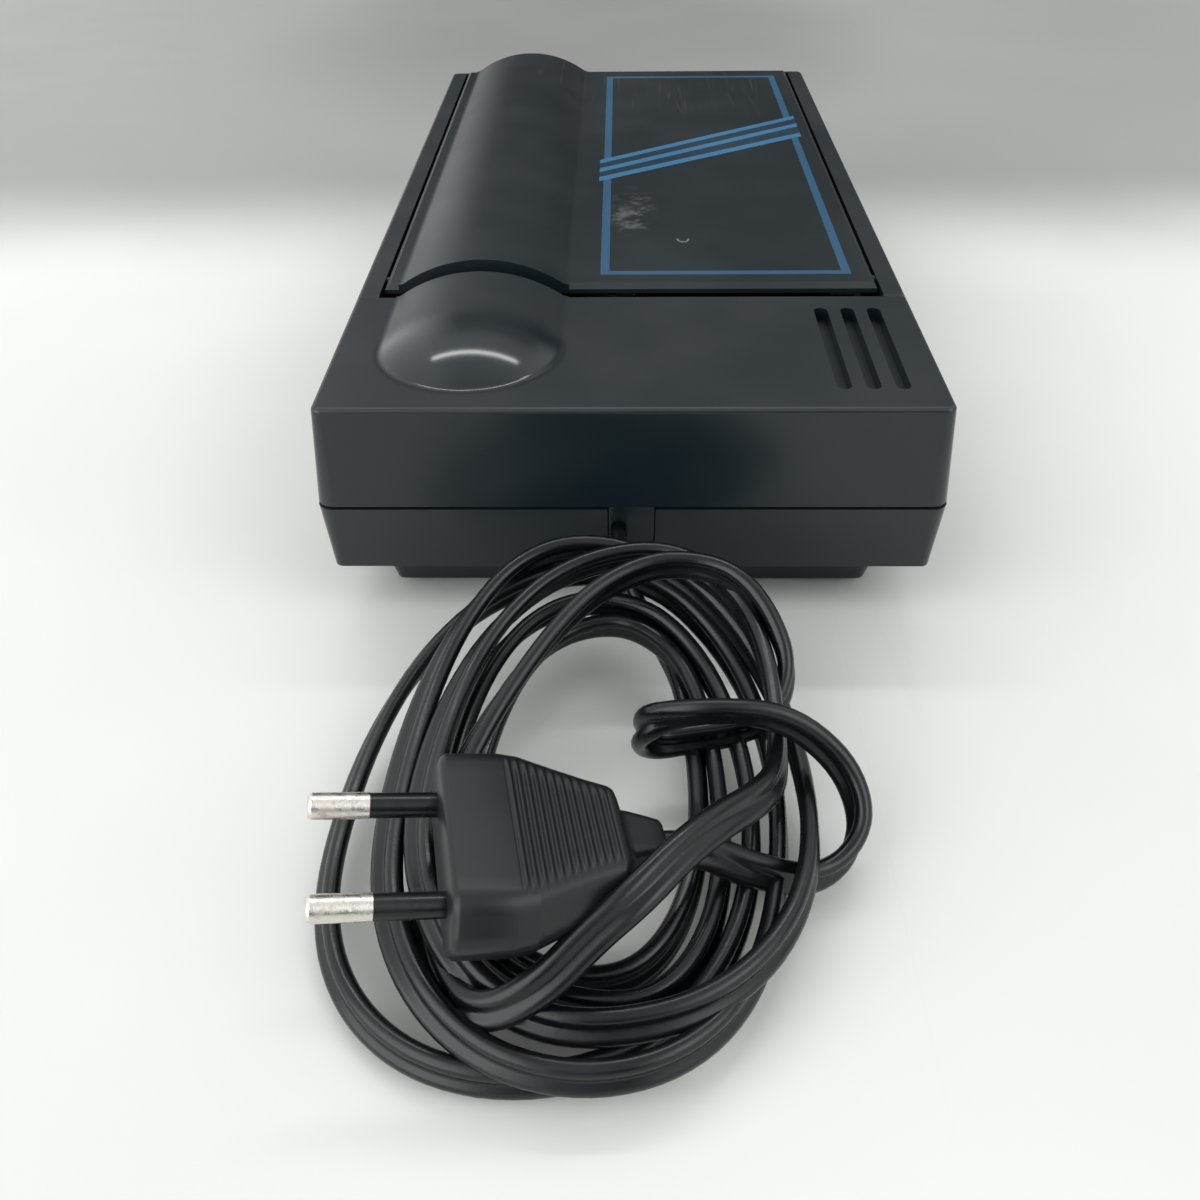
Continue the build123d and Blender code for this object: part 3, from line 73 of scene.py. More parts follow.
# ------------------------------------------------------------------ material helpers
class Shading:
    """Short calls for the texture and math nodes of one node tree."""

    def __init__(self, tree, coordinates):
        self.tree = tree
        outputs = tree.nodes.new("ShaderNodeTexCoord").outputs
        self.place = outputs[coordinates]
        self.facing = outputs["Normal"]

    def link(self, source, target):
        self.tree.links.new(source, target)

    def value(self, socket, source):
        """Feed a socket from a number or another node's output."""
        if isinstance(source, (int, float)):
            socket.default_value = source
        elif isinstance(source, tuple):
            socket.default_value = (*source, 1)
        else:
            self.link(source, socket)

    def stretched(self, scale):
        """Object coordinates multiplied by a scale for each axis."""
        node = self.tree.nodes.new("ShaderNodeMapping")
        node.inputs["Scale"].default_value = scale
        self.link(self.place, node.inputs["Vector"])
        return node.outputs["Vector"]

    def noise(self, size, detail=3.0, roughness=0.5, vector=None, distortion=0.0):
        """Noise from 0 to 1 whose features are about size metres across."""
        node = self.tree.nodes.new("ShaderNodeTexNoise")
        node.inputs["Scale"].default_value = 1 / size
        node.inputs["Detail"].default_value = detail
        node.inputs["Roughness"].default_value = roughness
        node.inputs["Distortion"].default_value = distortion
        self.link(vector or self.place, node.inputs["Vector"])
        return node.outputs["Fac"]

    def cells(self, size):
        """Distance to the nearest of scattered points, about size metres apart."""
        node = self.tree.nodes.new("ShaderNodeTexVoronoi")
        node.inputs["Scale"].default_value = 1 / size
        self.link(self.place, node.inputs["Vector"])
        return node.outputs["Distance"]

    def axis(self, name, vector=None):
        """One of a vector's three parts, by default of the place on the surface."""
        node = self.tree.nodes.new("ShaderNodeSeparateXYZ")
        self.link(vector or self.place, node.inputs[0])
        return node.outputs[name]

    def normal(self, name):
        """One part of the surface's direction, in the piece's own axes."""
        return self.axis(name, self.facing)

    def math(self, kind, first, second=0.0):
        """Result of one arithmetic step on sockets or numbers."""
        node = self.tree.nodes.new("ShaderNodeMath")
        node.operation = kind
        self.value(node.inputs[0], first)
        self.value(node.inputs[1], second)
        return node.outputs[0]

    def span(self, source, low, high, start=0.0, end=1.0):
        """Smooth change from start to end while the source goes from low to high."""
        node = self.tree.nodes.new("ShaderNodeMapRange")
        node.interpolation_type = "SMOOTHSTEP"
        self.value(node.inputs["Value"], source)
        self.value(node.inputs["From Min"], low)
        self.value(node.inputs["From Max"], high)
        self.value(node.inputs["To Min"], start)
        self.value(node.inputs["To Max"], end)
        return node.outputs["Result"]

    def band(self, source, low, high, soft=SOFT_EDGE):
        """1 where the source lies between low and high, else 0."""
        rise = self.span(source, low - soft, low + soft)
        fall = self.span(source, high - soft, high + soft, 1.0, 0.0)
        return self.math("MULTIPLY", rise, fall)

    def blend(self, share, first, second):
        """Colour between two colours."""
        node = self.tree.nodes.new("ShaderNodeMix")
        node.data_type = "RGBA"
        self.value(node.inputs["Factor"], share)
        self.value(node.inputs["A"], first)
        self.value(node.inputs["B"], second)
        return node.outputs["Result"]

    def lerp(self, share, first, second):
        """Number between two numbers."""
        rise = self.math("MULTIPLY", share, self.math("SUBTRACT", second, first))
        return self.math("ADD", first, rise)


# Scratches: noise squeezed along one axis, the share of its range that is one scratch, and how many
# times wider than the noise the patches with scratches are
SCRATCH_STRETCH = 0.025
SCRATCH_WIDTH = 0.012
SCRATCH_PATCH = 22


class Surface(Shading):
    """Node material around one Principled shader."""

    def __init__(self, name, color, roughness, metallic=0.0):
        self.material = bpy.data.materials.new(name)
        self.material.use_nodes = True
        super().__init__(self.material.node_tree, "Object")
        self.shader = self.tree.nodes["Principled BSDF"]
        self.shader.inputs["Base Color"].default_value = (*color, 1)
        self.shader.inputs["Roughness"].default_value = roughness
        self.shader.inputs["Metallic"].default_value = metallic

    def color(self, source):
        self.link(source, self.shader.inputs["Base Color"])

    def roughness(self, source):
        self.link(source, self.shader.inputs["Roughness"])

    def reflect(self, level):
        """How strongly the plastic mirrors, where 0.5 is the usual plastic."""
        self.shader.inputs["Specular IOR Level"].default_value = level

    def bump(self, height, distance):
        """Relief of that many metres; a second call adds to the first."""
        node = self.tree.nodes.new("ShaderNodeBump")
        node.inputs["Distance"].default_value = distance
        self.link(height, node.inputs["Height"])
        before = self.shader.inputs["Normal"]
        if before.is_linked:
            self.link(before.links[0].from_socket, node.inputs["Normal"])
        self.link(node.outputs["Normal"], before)

    def oval(self, middle, reach):
        """Squared distance from a point of the plan, where 1 is the rim of an oval."""
        parts = []
        for name, centre, radius in zip("XY", middle, reach):
            part = self.math("DIVIDE", self.math("SUBTRACT", self.axis(name), centre), radius)
            parts.append(self.math("MULTIPLY", part, part))
        return self.math("ADD", *parts)

    def scratches(self, size, turn, amount):
        """Thin straight scratches along one direction, where amount is their share."""
        node = self.tree.nodes.new("ShaderNodeMapping")
        node.inputs["Rotation"].default_value = (0, 0, turn)
        node.inputs["Scale"].default_value = (1, SCRATCH_STRETCH, 1)
        self.link(self.place, node.inputs["Vector"])
        lines = self.noise(size, 1.0, 0.4, node.outputs["Vector"], 0.3)
        patches = self.noise(size * SCRATCH_PATCH, 1.0)
        # The scratch is where the stretched noise crosses its middle value.
        fine = self.span(lines, 0.5 - SCRATCH_WIDTH, 0.5, 0.0, 1.0)
        fine = self.math("MULTIPLY", fine, self.span(lines, 0.5, 0.5 + SCRATCH_WIDTH, 1.0, 0.0))
        return self.math("MULTIPLY", fine, self.span(patches, 0.72 - amount, 0.8 - amount))


# Fine streaks and stains of bare metal
STREAK_SIZE = 0.0004
STAIN_COLOR = (0.3, 0.22, 0.14)


def moulded(name, color, roughness, grain=0.00035, relief=0.00001, spread=0.06, dust=0.35):
    """Moulded plastic with spark-eroded grain, uneven gloss and a little dust."""
    surface = Surface(name, color, roughness)
    cloudy = surface.noise(0.018, 4.0, 0.55)
    fine = surface.noise(grain, 2.0)
    surface.roughness(surface.span(cloudy, 0.3, 0.7, roughness - spread, roughness + spread))
    specks = surface.span(surface.cells(0.004), 0.02, 0.05, dust, 0.0)
    dusty = tuple(min(1.0, 2.6 * part + 0.012) for part in color)
    lighter = tuple(1.35 * part for part in color)
    tone = surface.blend(surface.span(cloudy, 0.35, 0.75, 0.0, 0.45), color, lighter)
    surface.color(surface.blend(specks, tone, dusty))
    surface.bump(fine, relief)
    return surface


def metal(name, color, roughness, streak=(1, 1, 1)):
    """Bare or plated metal with fine streaks and faint stains."""
    surface = Surface(name, color, roughness, metallic=1.0)
    lines = surface.noise(STREAK_SIZE, 3.0, 0.6, surface.stretched(streak))
    patches = surface.noise(0.006, 4.0, 0.6)
    surface.roughness(surface.span(lines, 0.25, 0.75, roughness - 0.07, roughness + 0.12))
    surface.color(surface.blend(surface.span(patches, 0.55, 0.8, 0.0, 0.35), color, STAIN_COLOR))
    surface.bump(lines, 0.00001)
    return surface


# ------------------------------------------------------------------ materials of the case
CHARCOAL = (0.0052, 0.0102, 0.0130)
CHARCOAL_PALE = (0.0072, 0.0118, 0.0138)
CASE_DUST = (0.03, 0.034, 0.036)
# Roughness of the case's top and walls where they are glossiest and dullest, and of the hump's end
TOP_ROUGHNESS = (0.36, 0.46)
WALL_ROUGHNESS = (0.2, 0.27)
DOME_ROUGHNESS = 0.13
# The gloss ends over these shares of the dome's radius, and over this stretch in front of its middle.
DOME_RIM = (0.925, 1.075)
DOME_FRONT = (-0.001, 0.009)
GRAIN_SIZE = 0.00028


def case_surface():
    """Charcoal case: matt grain on top, smoother walls, and a glossy rounded hump end."""
    surface = Surface("case_plastic", CHARCOAL, 0.42)
    cloudy = surface.noise(0.03, 4.0, 0.5)
    fine = surface.noise(GRAIN_SIZE, 2.0)
    dome_y = DOME_FROM_REAR - CASE_HALF_LENGTH
    reach = surface.math("SQRT", surface.oval((HUMP_X, dome_y), (DOME_RADIUS, DOME_RADIUS)))
    painted_shadow_oval = surface.span(surface.axis("Y"), dome_y + DOME_FRONT[0], dome_y + DOME_FRONT[1], 1.0, 0.0)
    on_dome = surface.math("MULTIPLY", surface.span(reach, *DOME_RIM, 1.0, 0.0), painted_shadow_oval)
    upward = surface.span(surface.normal("Z"), 0.25, 0.6)
    matt = surface.span(cloudy, 0.3, 0.7, *TOP_ROUGHNESS)
    walls = surface.span(cloudy, 0.3, 0.7, *WALL_ROUGHNESS)
    base = surface.math("ADD", surface.math("MULTIPLY", upward, matt),
                        surface.math("MULTIPLY", surface.math("SUBTRACT", 1.0, upward), walls))
    shine = surface.math("MULTIPLY", on_dome, surface.math("SUBTRACT", base, DOME_ROUGHNESS))
    surface.roughness(surface.math("SUBTRACT", base, shine))
    specks = surface.span(surface.cells(0.0045), 0.012, 0.03, 0.5, 0.0)
    tone = surface.blend(surface.span(cloudy, 0.4, 0.75, 0.0, 0.5), CHARCOAL, CHARCOAL_PALE)
    surface.color(surface.blend(specks, tone, CASE_DUST))
    grain = surface.math("MULTIPLY", fine, surface.math("SUBTRACT", upward, on_dome))
    surface.bump(grain, 0.000008)
    return surface


LID_DARK = (0.0046, 0.0094, 0.0120)
LID_PALE = (0.0064, 0.0116, 0.0144)
LID_DUST = (0.035, 0.038, 0.04)
LID_ROUGHNESS = (0.31, 0.4)
# Lines printed on the lid, in metres: an oblong frame crossed by three slanting stripes, each given by
# its Y at the frame's left and right sides and its width.
PRINT_X = (-0.0070, 0.0518)
PRINT_Y = (-0.0619, 0.1136)
PRINT_LINE = 0.0021
PRINT_OVERHANG = 0.0012
PRINT_HEIGHT = 0.00003
STRIPES = ((0.0060, 0.0446, 0.0036), (0.0136, 0.0544, 0.0034), (0.0212, 0.0625, 0.0032))
PRINT_BLUE = (0.026, 0.118, 0.232)
# The frame's ink is thinner than the stripes', and between the stripes the lid has a faint tint.
FRAME_INK = 0.55
PRINT_TINT = (0.006, 0.024, 0.040)
SCUFF_PLACE = (0.0004, -0.0195)
SCUFF_REACH = (0.0075, 0.0200)
SCUFF_COLOR = (0.16, 0.155, 0.16)
CHIP_PLACE = (0.0133, -0.0398)
CHIP_REACH = (0.0016, 0.0022)
CHIP_COLOR = (0.2, 0.2, 0.2)
SCRATCH_COLOR = (0.055, 0.06, 0.064)


def lid_surface():
    """Lid: the case's plastic, smoother, with the printed blue lines, a scuff and fine scratches."""
    surface = Surface("lid_plastic", CHARCOAL, 0.36)
    x, y = surface.axis("X"), surface.axis("Y")
    cloudy = surface.noise(0.035, 4.0, 0.5)
    fine = surface.noise(GRAIN_SIZE, 2.0)
    facing = surface.span(surface.normal("Z"), 0.9, 0.97)

    inside_x = surface.band(x, PRINT_X[0], PRINT_X[1])
    inside_y = surface.band(y, PRINT_Y[0], PRINT_Y[1])
    hollow_x = surface.band(x, PRINT_X[0] + PRINT_LINE, PRINT_X[1] - PRINT_LINE)
    hollow_y = surface.band(y, PRINT_Y[0] + PRINT_LINE, PRINT_Y[1] - PRINT_LINE)
    whole = surface.math("MULTIPLY", inside_x, inside_y)
    hollow = surface.math("MULTIPLY", hollow_x, hollow_y)
    printed = surface.math("SUBTRACT", whole, hollow)
    # Each stripe's levels are 0 along its middle. Between the lowest and the highest there is no frame.
    levels = []
    for left, right, _ in STRIPES:
        slope = (right - left) / (PRINT_X[1] - PRINT_X[0])
        rise = surface.math("MULTIPLY", surface.math("SUBTRACT", x, PRINT_X[0]), slope)
        levels.append(surface.math("SUBTRACT", surface.math("SUBTRACT", y, rise), left))
    crossing = surface.math("MULTIPLY", surface.span(levels[0], -SOFT_EDGE, SOFT_EDGE),
                            surface.span(levels[-1], -SOFT_EDGE, SOFT_EDGE, 1.0, 0.0))
    ink = surface.math("MULTIPLY", surface.math("SUBTRACT", 1.0, crossing), FRAME_INK)
    printed = surface.math("MULTIPLY", printed, ink)
    stripe_span = surface.band(x, PRINT_X[0] - PRINT_OVERHANG, PRINT_X[1] + PRINT_OVERHANG)
    for level, (_, _, width) in zip(levels, STRIPES):
        stripe = surface.math("MULTIPLY", surface.band(level, -width / 2, width / 2), stripe_span)
        printed = surface.math("MAXIMUM", printed, stripe)
    worn = surface.span(surface.noise(0.0012, 4.0, 0.7), 0.28, 0.36, 0.55, 1.0)
    printed = surface.math("MULTIPLY", surface.math("MULTIPLY", printed, worn), facing)
    tinted = surface.math("MULTIPLY", surface.math("MULTIPLY", crossing, stripe_span), facing)

    spot = surface.oval(SCUFF_PLACE, SCUFF_REACH)
    smear = surface.noise(0.006, 6.0, 0.72)
    scuff = surface.math("MULTIPLY", surface.span(spot, 0.2, 1.0, 1.0, 0.0),
                         surface.span(smear, 0.46, 0.7))
    ring = surface.oval(CHIP_PLACE, CHIP_REACH)
    chip = surface.math("MULTIPLY", surface.band(ring, 0.5, 1.0, 0.15),
                        surface.span(y, CHIP_PLACE[1] - 0.0002, CHIP_PLACE[1] + 0.0006, 1.0, 0.0))

    scratch = surface.math("MAXIMUM", surface.scratches(0.003, radians(12), 0.1),
                           surface.scratches(0.0042, radians(-47), 0.06))
    specks = surface.span(surface.cells(0.006), 0.01, 0.024, 0.5, 0.0)
    tone = surface.blend(surface.span(cloudy, 0.35, 0.75, 0.0, 0.5), LID_DARK, LID_PALE)
    tone = surface.blend(tinted, tone, PRINT_TINT)
    tone = surface.blend(printed, tone, PRINT_BLUE)
    tone = surface.blend(surface.math("MULTIPLY", scuff, 0.42), tone, SCUFF_COLOR)
    tone = surface.blend(surface.math("MULTIPLY", chip, 0.7), tone, CHIP_COLOR)
    tone = surface.blend(surface.math("MULTIPLY", scratch, 0.3), tone, SCRATCH_COLOR)
    surface.color(surface.blend(specks, tone, LID_DUST))
    base = surface.span(cloudy, 0.3, 0.7, *LID_ROUGHNESS)
    base = surface.math("ADD", base, surface.math("MULTIPLY", scuff, 0.2))
    surface.roughness(surface.math("ADD", base, surface.math("MULTIPLY", printed, 0.08)))
    surface.bump(fine, 0.000006)
    surface.bump(printed, PRINT_HEIGHT)
    return surface


CORD_BLACK = (0.003, 0.0042, 0.005)
CORD_SHADES = ((0.0028, 0.004, 0.0048), (0.005, 0.0064, 0.0072))
CORD_DUST = (0.03, 0.032, 0.034)


def cord_surface():
    """Smooth black PVC with dull patches and small scuffs."""
    surface = Surface("cord_pvc", CORD_BLACK, 0.26)
    surface.reflect(0.4)
    dull = surface.noise(0.012, 4.0, 0.6)
    fine = surface.noise(0.0009, 3.0, 0.6)
    surface.roughness(surface.span(dull, 0.3, 0.72, 0.2, 0.36))
    specks = surface.span(surface.cells(0.0035), 0.03, 0.07, 0.5, 0.0)
    tone = surface.blend(surface.span(dull, 0.45, 0.8), *CORD_SHADES)
    surface.color(surface.blend(specks, tone, CORD_DUST))
    surface.bump(fine, 0.00002)
    return surface


def pin_surface():
    """Worn nickel plating with brownish patches."""
    nickel, brown = (0.72, 0.69, 0.64), (0.36, 0.3, 0.23)
    surface = Surface("pin_nickel", nickel, 0.3, metallic=1.0)
    worn = surface.noise(0.0022, 6.0, 0.7)
    pits = surface.noise(0.00045, 3.0, 0.7)
    surface.color(surface.blend(surface.span(worn, 0.52, 0.72, 0.0, 0.75), nickel, brown))
    surface.roughness(surface.span(worn, 0.35, 0.75, 0.2, 0.5))
    surface.bump(pits, 0.00004)
    return surface


# Length of the fuse's caps, thickness of a sheet of the core, height of a turn of tape, and width of
# the stripe on the capacitor
FUSE_CAP = 0.0048
SHEET_THICKNESS = 0.0005
TAPE_TURN = 0.004
SLEEVE_STRIPE = 0.0016


def glass_surface():
    """Glass tube with a metal cap at each end."""
    surface = Surface("fuse_glass", (0.78, 0.82, 0.82), 0.06)
    low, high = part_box("fuse")
    x = surface.axis("X")
    one_cap = surface.span(x, low.x + FUSE_CAP, low.x + FUSE_CAP + SOFT_EDGE, 1.0, 0.0)
    other_cap = surface.span(x, high.x - FUSE_CAP - SOFT_EDGE, high.x - FUSE_CAP)
    ends = surface.math("MAXIMUM", one_cap, other_cap)
    surface.color(surface.blend(ends, (0.5, 0.55, 0.55), (0.6, 0.6, 0.62)))
    surface.link(ends, surface.shader.inputs["Metallic"])
    surface.roughness(surface.span(surface.noise(0.001, 3.0), 0.3, 0.7, 0.08, 0.2))
    return surface


def core_surface():
    """Stacked steel sheets seen on edge, varnished."""
    surface = metal("core_steel", (0.16, 0.16, 0.17), 0.45)
    sheets = surface.math("SINE", surface.math("MULTIPLY", surface.axis("X"), 2 * pi / SHEET_THICKNESS))
    surface.bump(surface.span(sheets, -0.4, 0.4), 0.00006)
    return surface


def tape_surface():
    """Yellow winding tape in overlapping turns."""
    surface = moulded("winding_tape", (0.56, 0.39, 0.05), 0.4, dust=0.1)
    turns = surface.math("SINE", surface.math("MULTIPLY", surface.axis("Z"), 2 * pi / TAPE_TURN))
    surface.bump(surface.span(turns, 0.8, 0.95), 0.00008)
    return surface


def board_surface():
    """Brown board with the fibres of its paper showing."""
    surface = moulded("board_laminate", (0.3, 0.17, 0.06), 0.5, dust=0.15)
    fibres = surface.noise(0.0006, 4.0, 0.7, surface.stretched((1, 0.2, 1)))
    surface.bump(fibres, 0.00003)
    return surface


def felt_surface():
    """Dense felt."""
    surface = moulded("brake_felt", (0.2, 0.17, 0.13), 0.95, dust=0.0)
    surface.bump(surface.noise(0.0003, 6.0, 0.8), 0.00015)
    return surface


def sleeve_surface():
    """Capacitor sleeve with a pale stripe down its side."""
    blue, pale = (0.02, 0.05, 0.14), (0.4, 0.42, 0.45)
    surface = moulded("capacitor_sleeve", blue, 0.25, dust=0.05)
    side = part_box("capacitor")[0].x
    stripe = surface.band(surface.axis("X"), side, side + SLEEVE_STRIPE)
    surface.color(surface.blend(stripe, blue, pale))
    return surface


MATERIALS = {
    "case_plastic": case_surface(),
    "dark_plastic": moulded("dark_plastic", (0.012, 0.0125, 0.013), 0.5, dust=0.25),
    "foot_rubber": moulded("foot_rubber", (0.01, 0.01, 0.01), 0.8, grain=0.0008, relief=0.00003),
    "zinc_steel": metal("zinc_steel", (0.55, 0.55, 0.53), 0.34),
    "spring_brass": metal("spring_brass", (0.66, 0.5, 0.22), 0.3, streak=(1, 0.05, 1)),
    "gear_plastic": moulded("gear_plastic", (0.72, 0.7, 0.62), 0.42, dust=0.05),
    "belt_rubber": moulded("belt_rubber", (0.013, 0.013, 0.013), 0.7, grain=0.0006, relief=0.00003),
    "brake_felt": felt_surface(),
    "core_steel": core_surface(),
    "winding_tape": tape_surface(),
    "board_laminate": board_surface(),
    "capacitor_sleeve": sleeve_surface(),
    "diode_epoxy": moulded("diode_epoxy", (0.012, 0.012, 0.012), 0.35, dust=0.0),
    "fuse_glass": glass_surface(),
    "cord_pvc": cord_surface(),
    "wire_pvc": moulded("wire_pvc", (0.28, 0.025, 0.02), 0.3, dust=0.0),
    "pin_nickel": pin_surface(),
}


def dress_nodes():
    """Give every node of the frame its slot's material."""
    for part in frame["record"]["subparts"]:
        mesh = nodes[part["node"]].data
        mesh.materials.clear()
        mesh.materials.append(MATERIALS[part["material_slot"]].material)
    nodes["lid"].data.materials[0] = lid_surface().material
    nodes["hinge_pins"].data.materials[0] = MATERIALS["dark_plastic"].material


dress_nodes()


# ------------------------------------------------------------------ mesh helpers
def mesh_piece(name, vertices, faces, slot):
    """Smooth mesh object with a slot's material, riding on the case."""
    mesh = bpy.data.meshes.new(name)
    mesh.from_pydata([tuple(v) for v in vertices], [], faces)
    mesh.validate()
    work = bmesh.new()
    work.from_mesh(mesh)
    bmesh.ops.recalc_face_normals(work, faces=work.faces)
    work.to_mesh(mesh)
    work.free()
    for face in mesh.polygons:
        face.use_smooth = True
    piece = bpy.data.objects.new(name, mesh)
    bpy.context.scene.collection.objects.link(piece)
    mesh.materials.append(MATERIALS[slot].material)
    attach(piece, "case")
    return piece


def skin(rings):
    """Vertices and faces of a closed tube through rings with equal numbers of points."""
    count = len(rings[0])
    vertices = [point for ring in rings for point in ring]
    faces = []
    for row in range(len(rings) - 1):
        for step in range(count):
            nearby = (step + 1) % count
            faces.append((row * count + step, row * count + nearby,
                          (row + 1) * count + nearby, (row + 1) * count + step))
    faces.append(tuple(reversed(range(count))))
    faces.append(tuple(range((len(rings) - 1) * count, len(rings) * count)))
    return vertices, faces


# ------------------------------------------------------------------ mains cord
LOBE_RADIUS = 1.5
# Least distances between two passes of the cord, and its least height, in millimetres
CORD_ROOM = (3.3, 3.3, 5.2)
LOWEST = 3.0
ROUNDNESS = 0.9
POINTS_A_QUARTER = 4
# Control points that stay where they are, at the case and at the plug
FIXED_START = 3
FIXED_END = 4
# Points of the line tested between two control points, and within how many of these along the cord
# two points are never tested against each other
POINTS_A_SPAN = 5
NEIGHBOURS = 14
# How much higher the later pass counts, what share of a push is taken in a round, and what share of
# the way back to the planned place
LATER_LIFT = 0.15
PUSH = 0.5
PULL_BACK = 0.03
ROUNDS = 80
# Points round each lobe of the cord, and how far round it they go to either side in degrees
LOBE_STEPS = 11
LOBE_ANGLE = 142
# Sections of the cord between two control points, and the share of its twist that it keeps from one
# section to the next
SECTIONS_A_SPAN = 6
TWIST_KEPT = 0.75

# Loose turns, lowest first. Each row is one turn, by its places furthest right, nearest, furthest
# left and furthest away: x, y, height, and how many degrees the flat cord leans from upright.
TURNS = (
    ((11.5, -186.0, 8.0, 10), (-6.0, -221.0, 4.5, 25), (-29.0, -190.0, 6.0, 50), (-4.5, -146.5, 15.0, 10)),
    ((15.0, -192.0, 8.5, 10), (-3.0, -227.0, 7.0, 30), (-33.5, -190.0, 9.0, 55), (-8.0, -143.0, 17.5, 5)),
    ((20.5, -190.0, 9.0, 10), (-17.0, -237.0, 4.5, 15), (-51.0, -197.0, 5.5, 35), (-9.0, -138.0, 21.0, 0)),
    ((25.5, -187.0, 9.0, 10), (-7.0, -238.5, 8.0, 20), (-40.5, -196.0, 13.0, 62), (-10.0, -137.0, 27.5, 0)),
    ((29.5, -191.0, 12.0, 10), (-7.0, -232.5, 11.0, 30), (-35.0, -192.0, 15.5, 60),
     (2.0, -141.5, 28.5, -5)),
)
LEAD = (
    (-2.6, -126.0, 21.6, 0), (-2.6, -133.0, 21.6, 0), (0.0, -142.0, 17.5, 10),
    (6.0, -150.5, 13.5, 20), (10.0, -160.5, 10.5, 20), (11.8, -172.5, 9.0, 15),
)
# The last turn comes down on the right, over the cord's own end and along the plug, and goes under it.
LAST_TURN = (
    (13.0, -145.0, 28.0, 5), (20.5, -153.0, 25.0, 8), (24.0, -163.0, 21.5, 10), (25.0, -174.0, 19.0, 12),
    (24.5, -184.0, 18.0, 15), (23.0, -192.5, 19.5, 25), (19.0, -199.5, 22.5, 35), (13.0, -206.0, 25.5, 45),
    (6.5, -212.0, 26.5, 50), (0.0, -218.0, 25.5, 50), (-6.5, -223.5, 22.0, 45), (-13.5, -229.0, 16.5, 40),
    (-22.0, -230.5, 11.0, 45), (-29.5, -224.0, 9.5, 50), (-33.5, -212.0, 10.0, 55),
    (-33.0, -198.0, 12.5, 55), (-28.0, -183.0, 17.0, 40), (-18.5, -167.0, 23.0, 20),
    (-8.5, -155.0, 28.0, 5), (2.0, -149.0, 30.5, 0), (11.0, -148.3, 30.5, 0),
)
# The end of the cord goes once round the turns and back to the plug.
WRAP = (
    (19.0, -151.0, 29.5, 10), (25.0, -157.5, 26.0, 20), (28.5, -165.0, 20.0, 25),
    (26.5, -171.5, 14.0, 20), (19.5, -174.5, 11.0, 10), (10.5, -175.5, 10.2, 10), (3.2, -177.2, 12.0, 20),
    (0.6, -180.0, 18.0, 40), (3.6, -182.8, 24.3, 50), (12.5, -184.0, 27.2, 30), (25.0, -183.5, 25.5, 10),
    (35.0, -186.0, 17.5, 5), (38.5, -192.0, 10.5, 5), (35.5, -198.0, 6.5, 5), (28.5, -201.5, 5.5, 10),
    (20.5, -204.2, 9.0, 20), (15.5, -205.4, 14.5, 45), (11.0, -206.2, 18.6, 65), (6.5, -207.0, 19.9, 80),
    (2.5, -207.8, 20.8, 85),
)


def coil_points():
    """Control points of the loose turns: quarters of a squarish oval from one place to the next."""
    marks = [mark for turn in TURNS for mark in turn]
    points = []
    for index, (here, after) in enumerate(zip(marks, marks[1:])):
        # From right or left the cord starts along Y, from near or far along X.
        first, second = (0, 1) if index % 2 == 0 else (1, 0)
        for step in range(POINTS_A_QUARTER):
            share = step / POINTS_A_QUARTER
            spot = [0.0, 0.0]
            reach = here[first] - after[first]
            spot[first] = after[first] + reach * cos(share * pi / 2) ** ROUNDNESS
            reach = after[second] - here[second]
            spot[second] = here[second] + reach * sin(share * pi / 2) ** ROUNDNESS
            ease = share * share * (3 - 2 * share)
            height = here[2] + (after[2] - here[2]) * ease
            lean = here[3] + (after[3] - here[3]) * ease
            points.append((*spot, height, lean))
    return [*points, marks[-1]]


def spline_weights(count, per_span):
    """Weights of a clamped quadratic spline's control points at even steps along it."""
    knots = [0.0] * 3 + [float(k) for k in range(1, count - 2)] + [count - 2.0] * 3
    rows = []
    units = np.eye(count)
    for step in range((count - 2) * per_span + 1):
        at = step / per_span
        first = min(int(at), count - 3)
        mixed = [units[first], units[first + 1], units[first + 2]]
        for level in (1, 2):
            for slot in range(2, level - 1, -1):
                low = knots[first + slot]
                high = knots[first + slot + 3 - level]
                share = (at - low) / (high - low)
                mixed[slot] = (1 - share) * mixed[slot - 1] + share * mixed[slot]
        rows.append(mixed[2])
    return np.array(rows)


def clear_of_plug(line):
    """Shift of each point of a line that would run through the plug's body."""
    axes = np.array([list(way) for way in plug_axes()])
    middle = np.array([*(PLUG_FRONT * 1000)]) + axes[0] * PLUG_MIDDLE
    local = (line - middle) @ axes.T
    half = np.tile(PLUG_ROOM, (len(line), 1))
    half[:, 1] -= PLUG_NARROWS * np.clip(local[:, 0], 0.0, None)
    local /= half
    depth = 1.0 - np.abs(local)
    inside = (depth > 0).all(axis=1)
    # The way out is across the body or through it, never along it.
    nearest = np.argmin(np.where(np.arange(3) == 0, PLUG_ROOM[2], depth * half), axis=1)
    rows = np.arange(len(line))
    shift = np.zeros_like(line)
    shift[rows, nearest] = (np.sign(local) * depth * half)[rows, nearest]
    return (shift * inside[:, None]) @ axes


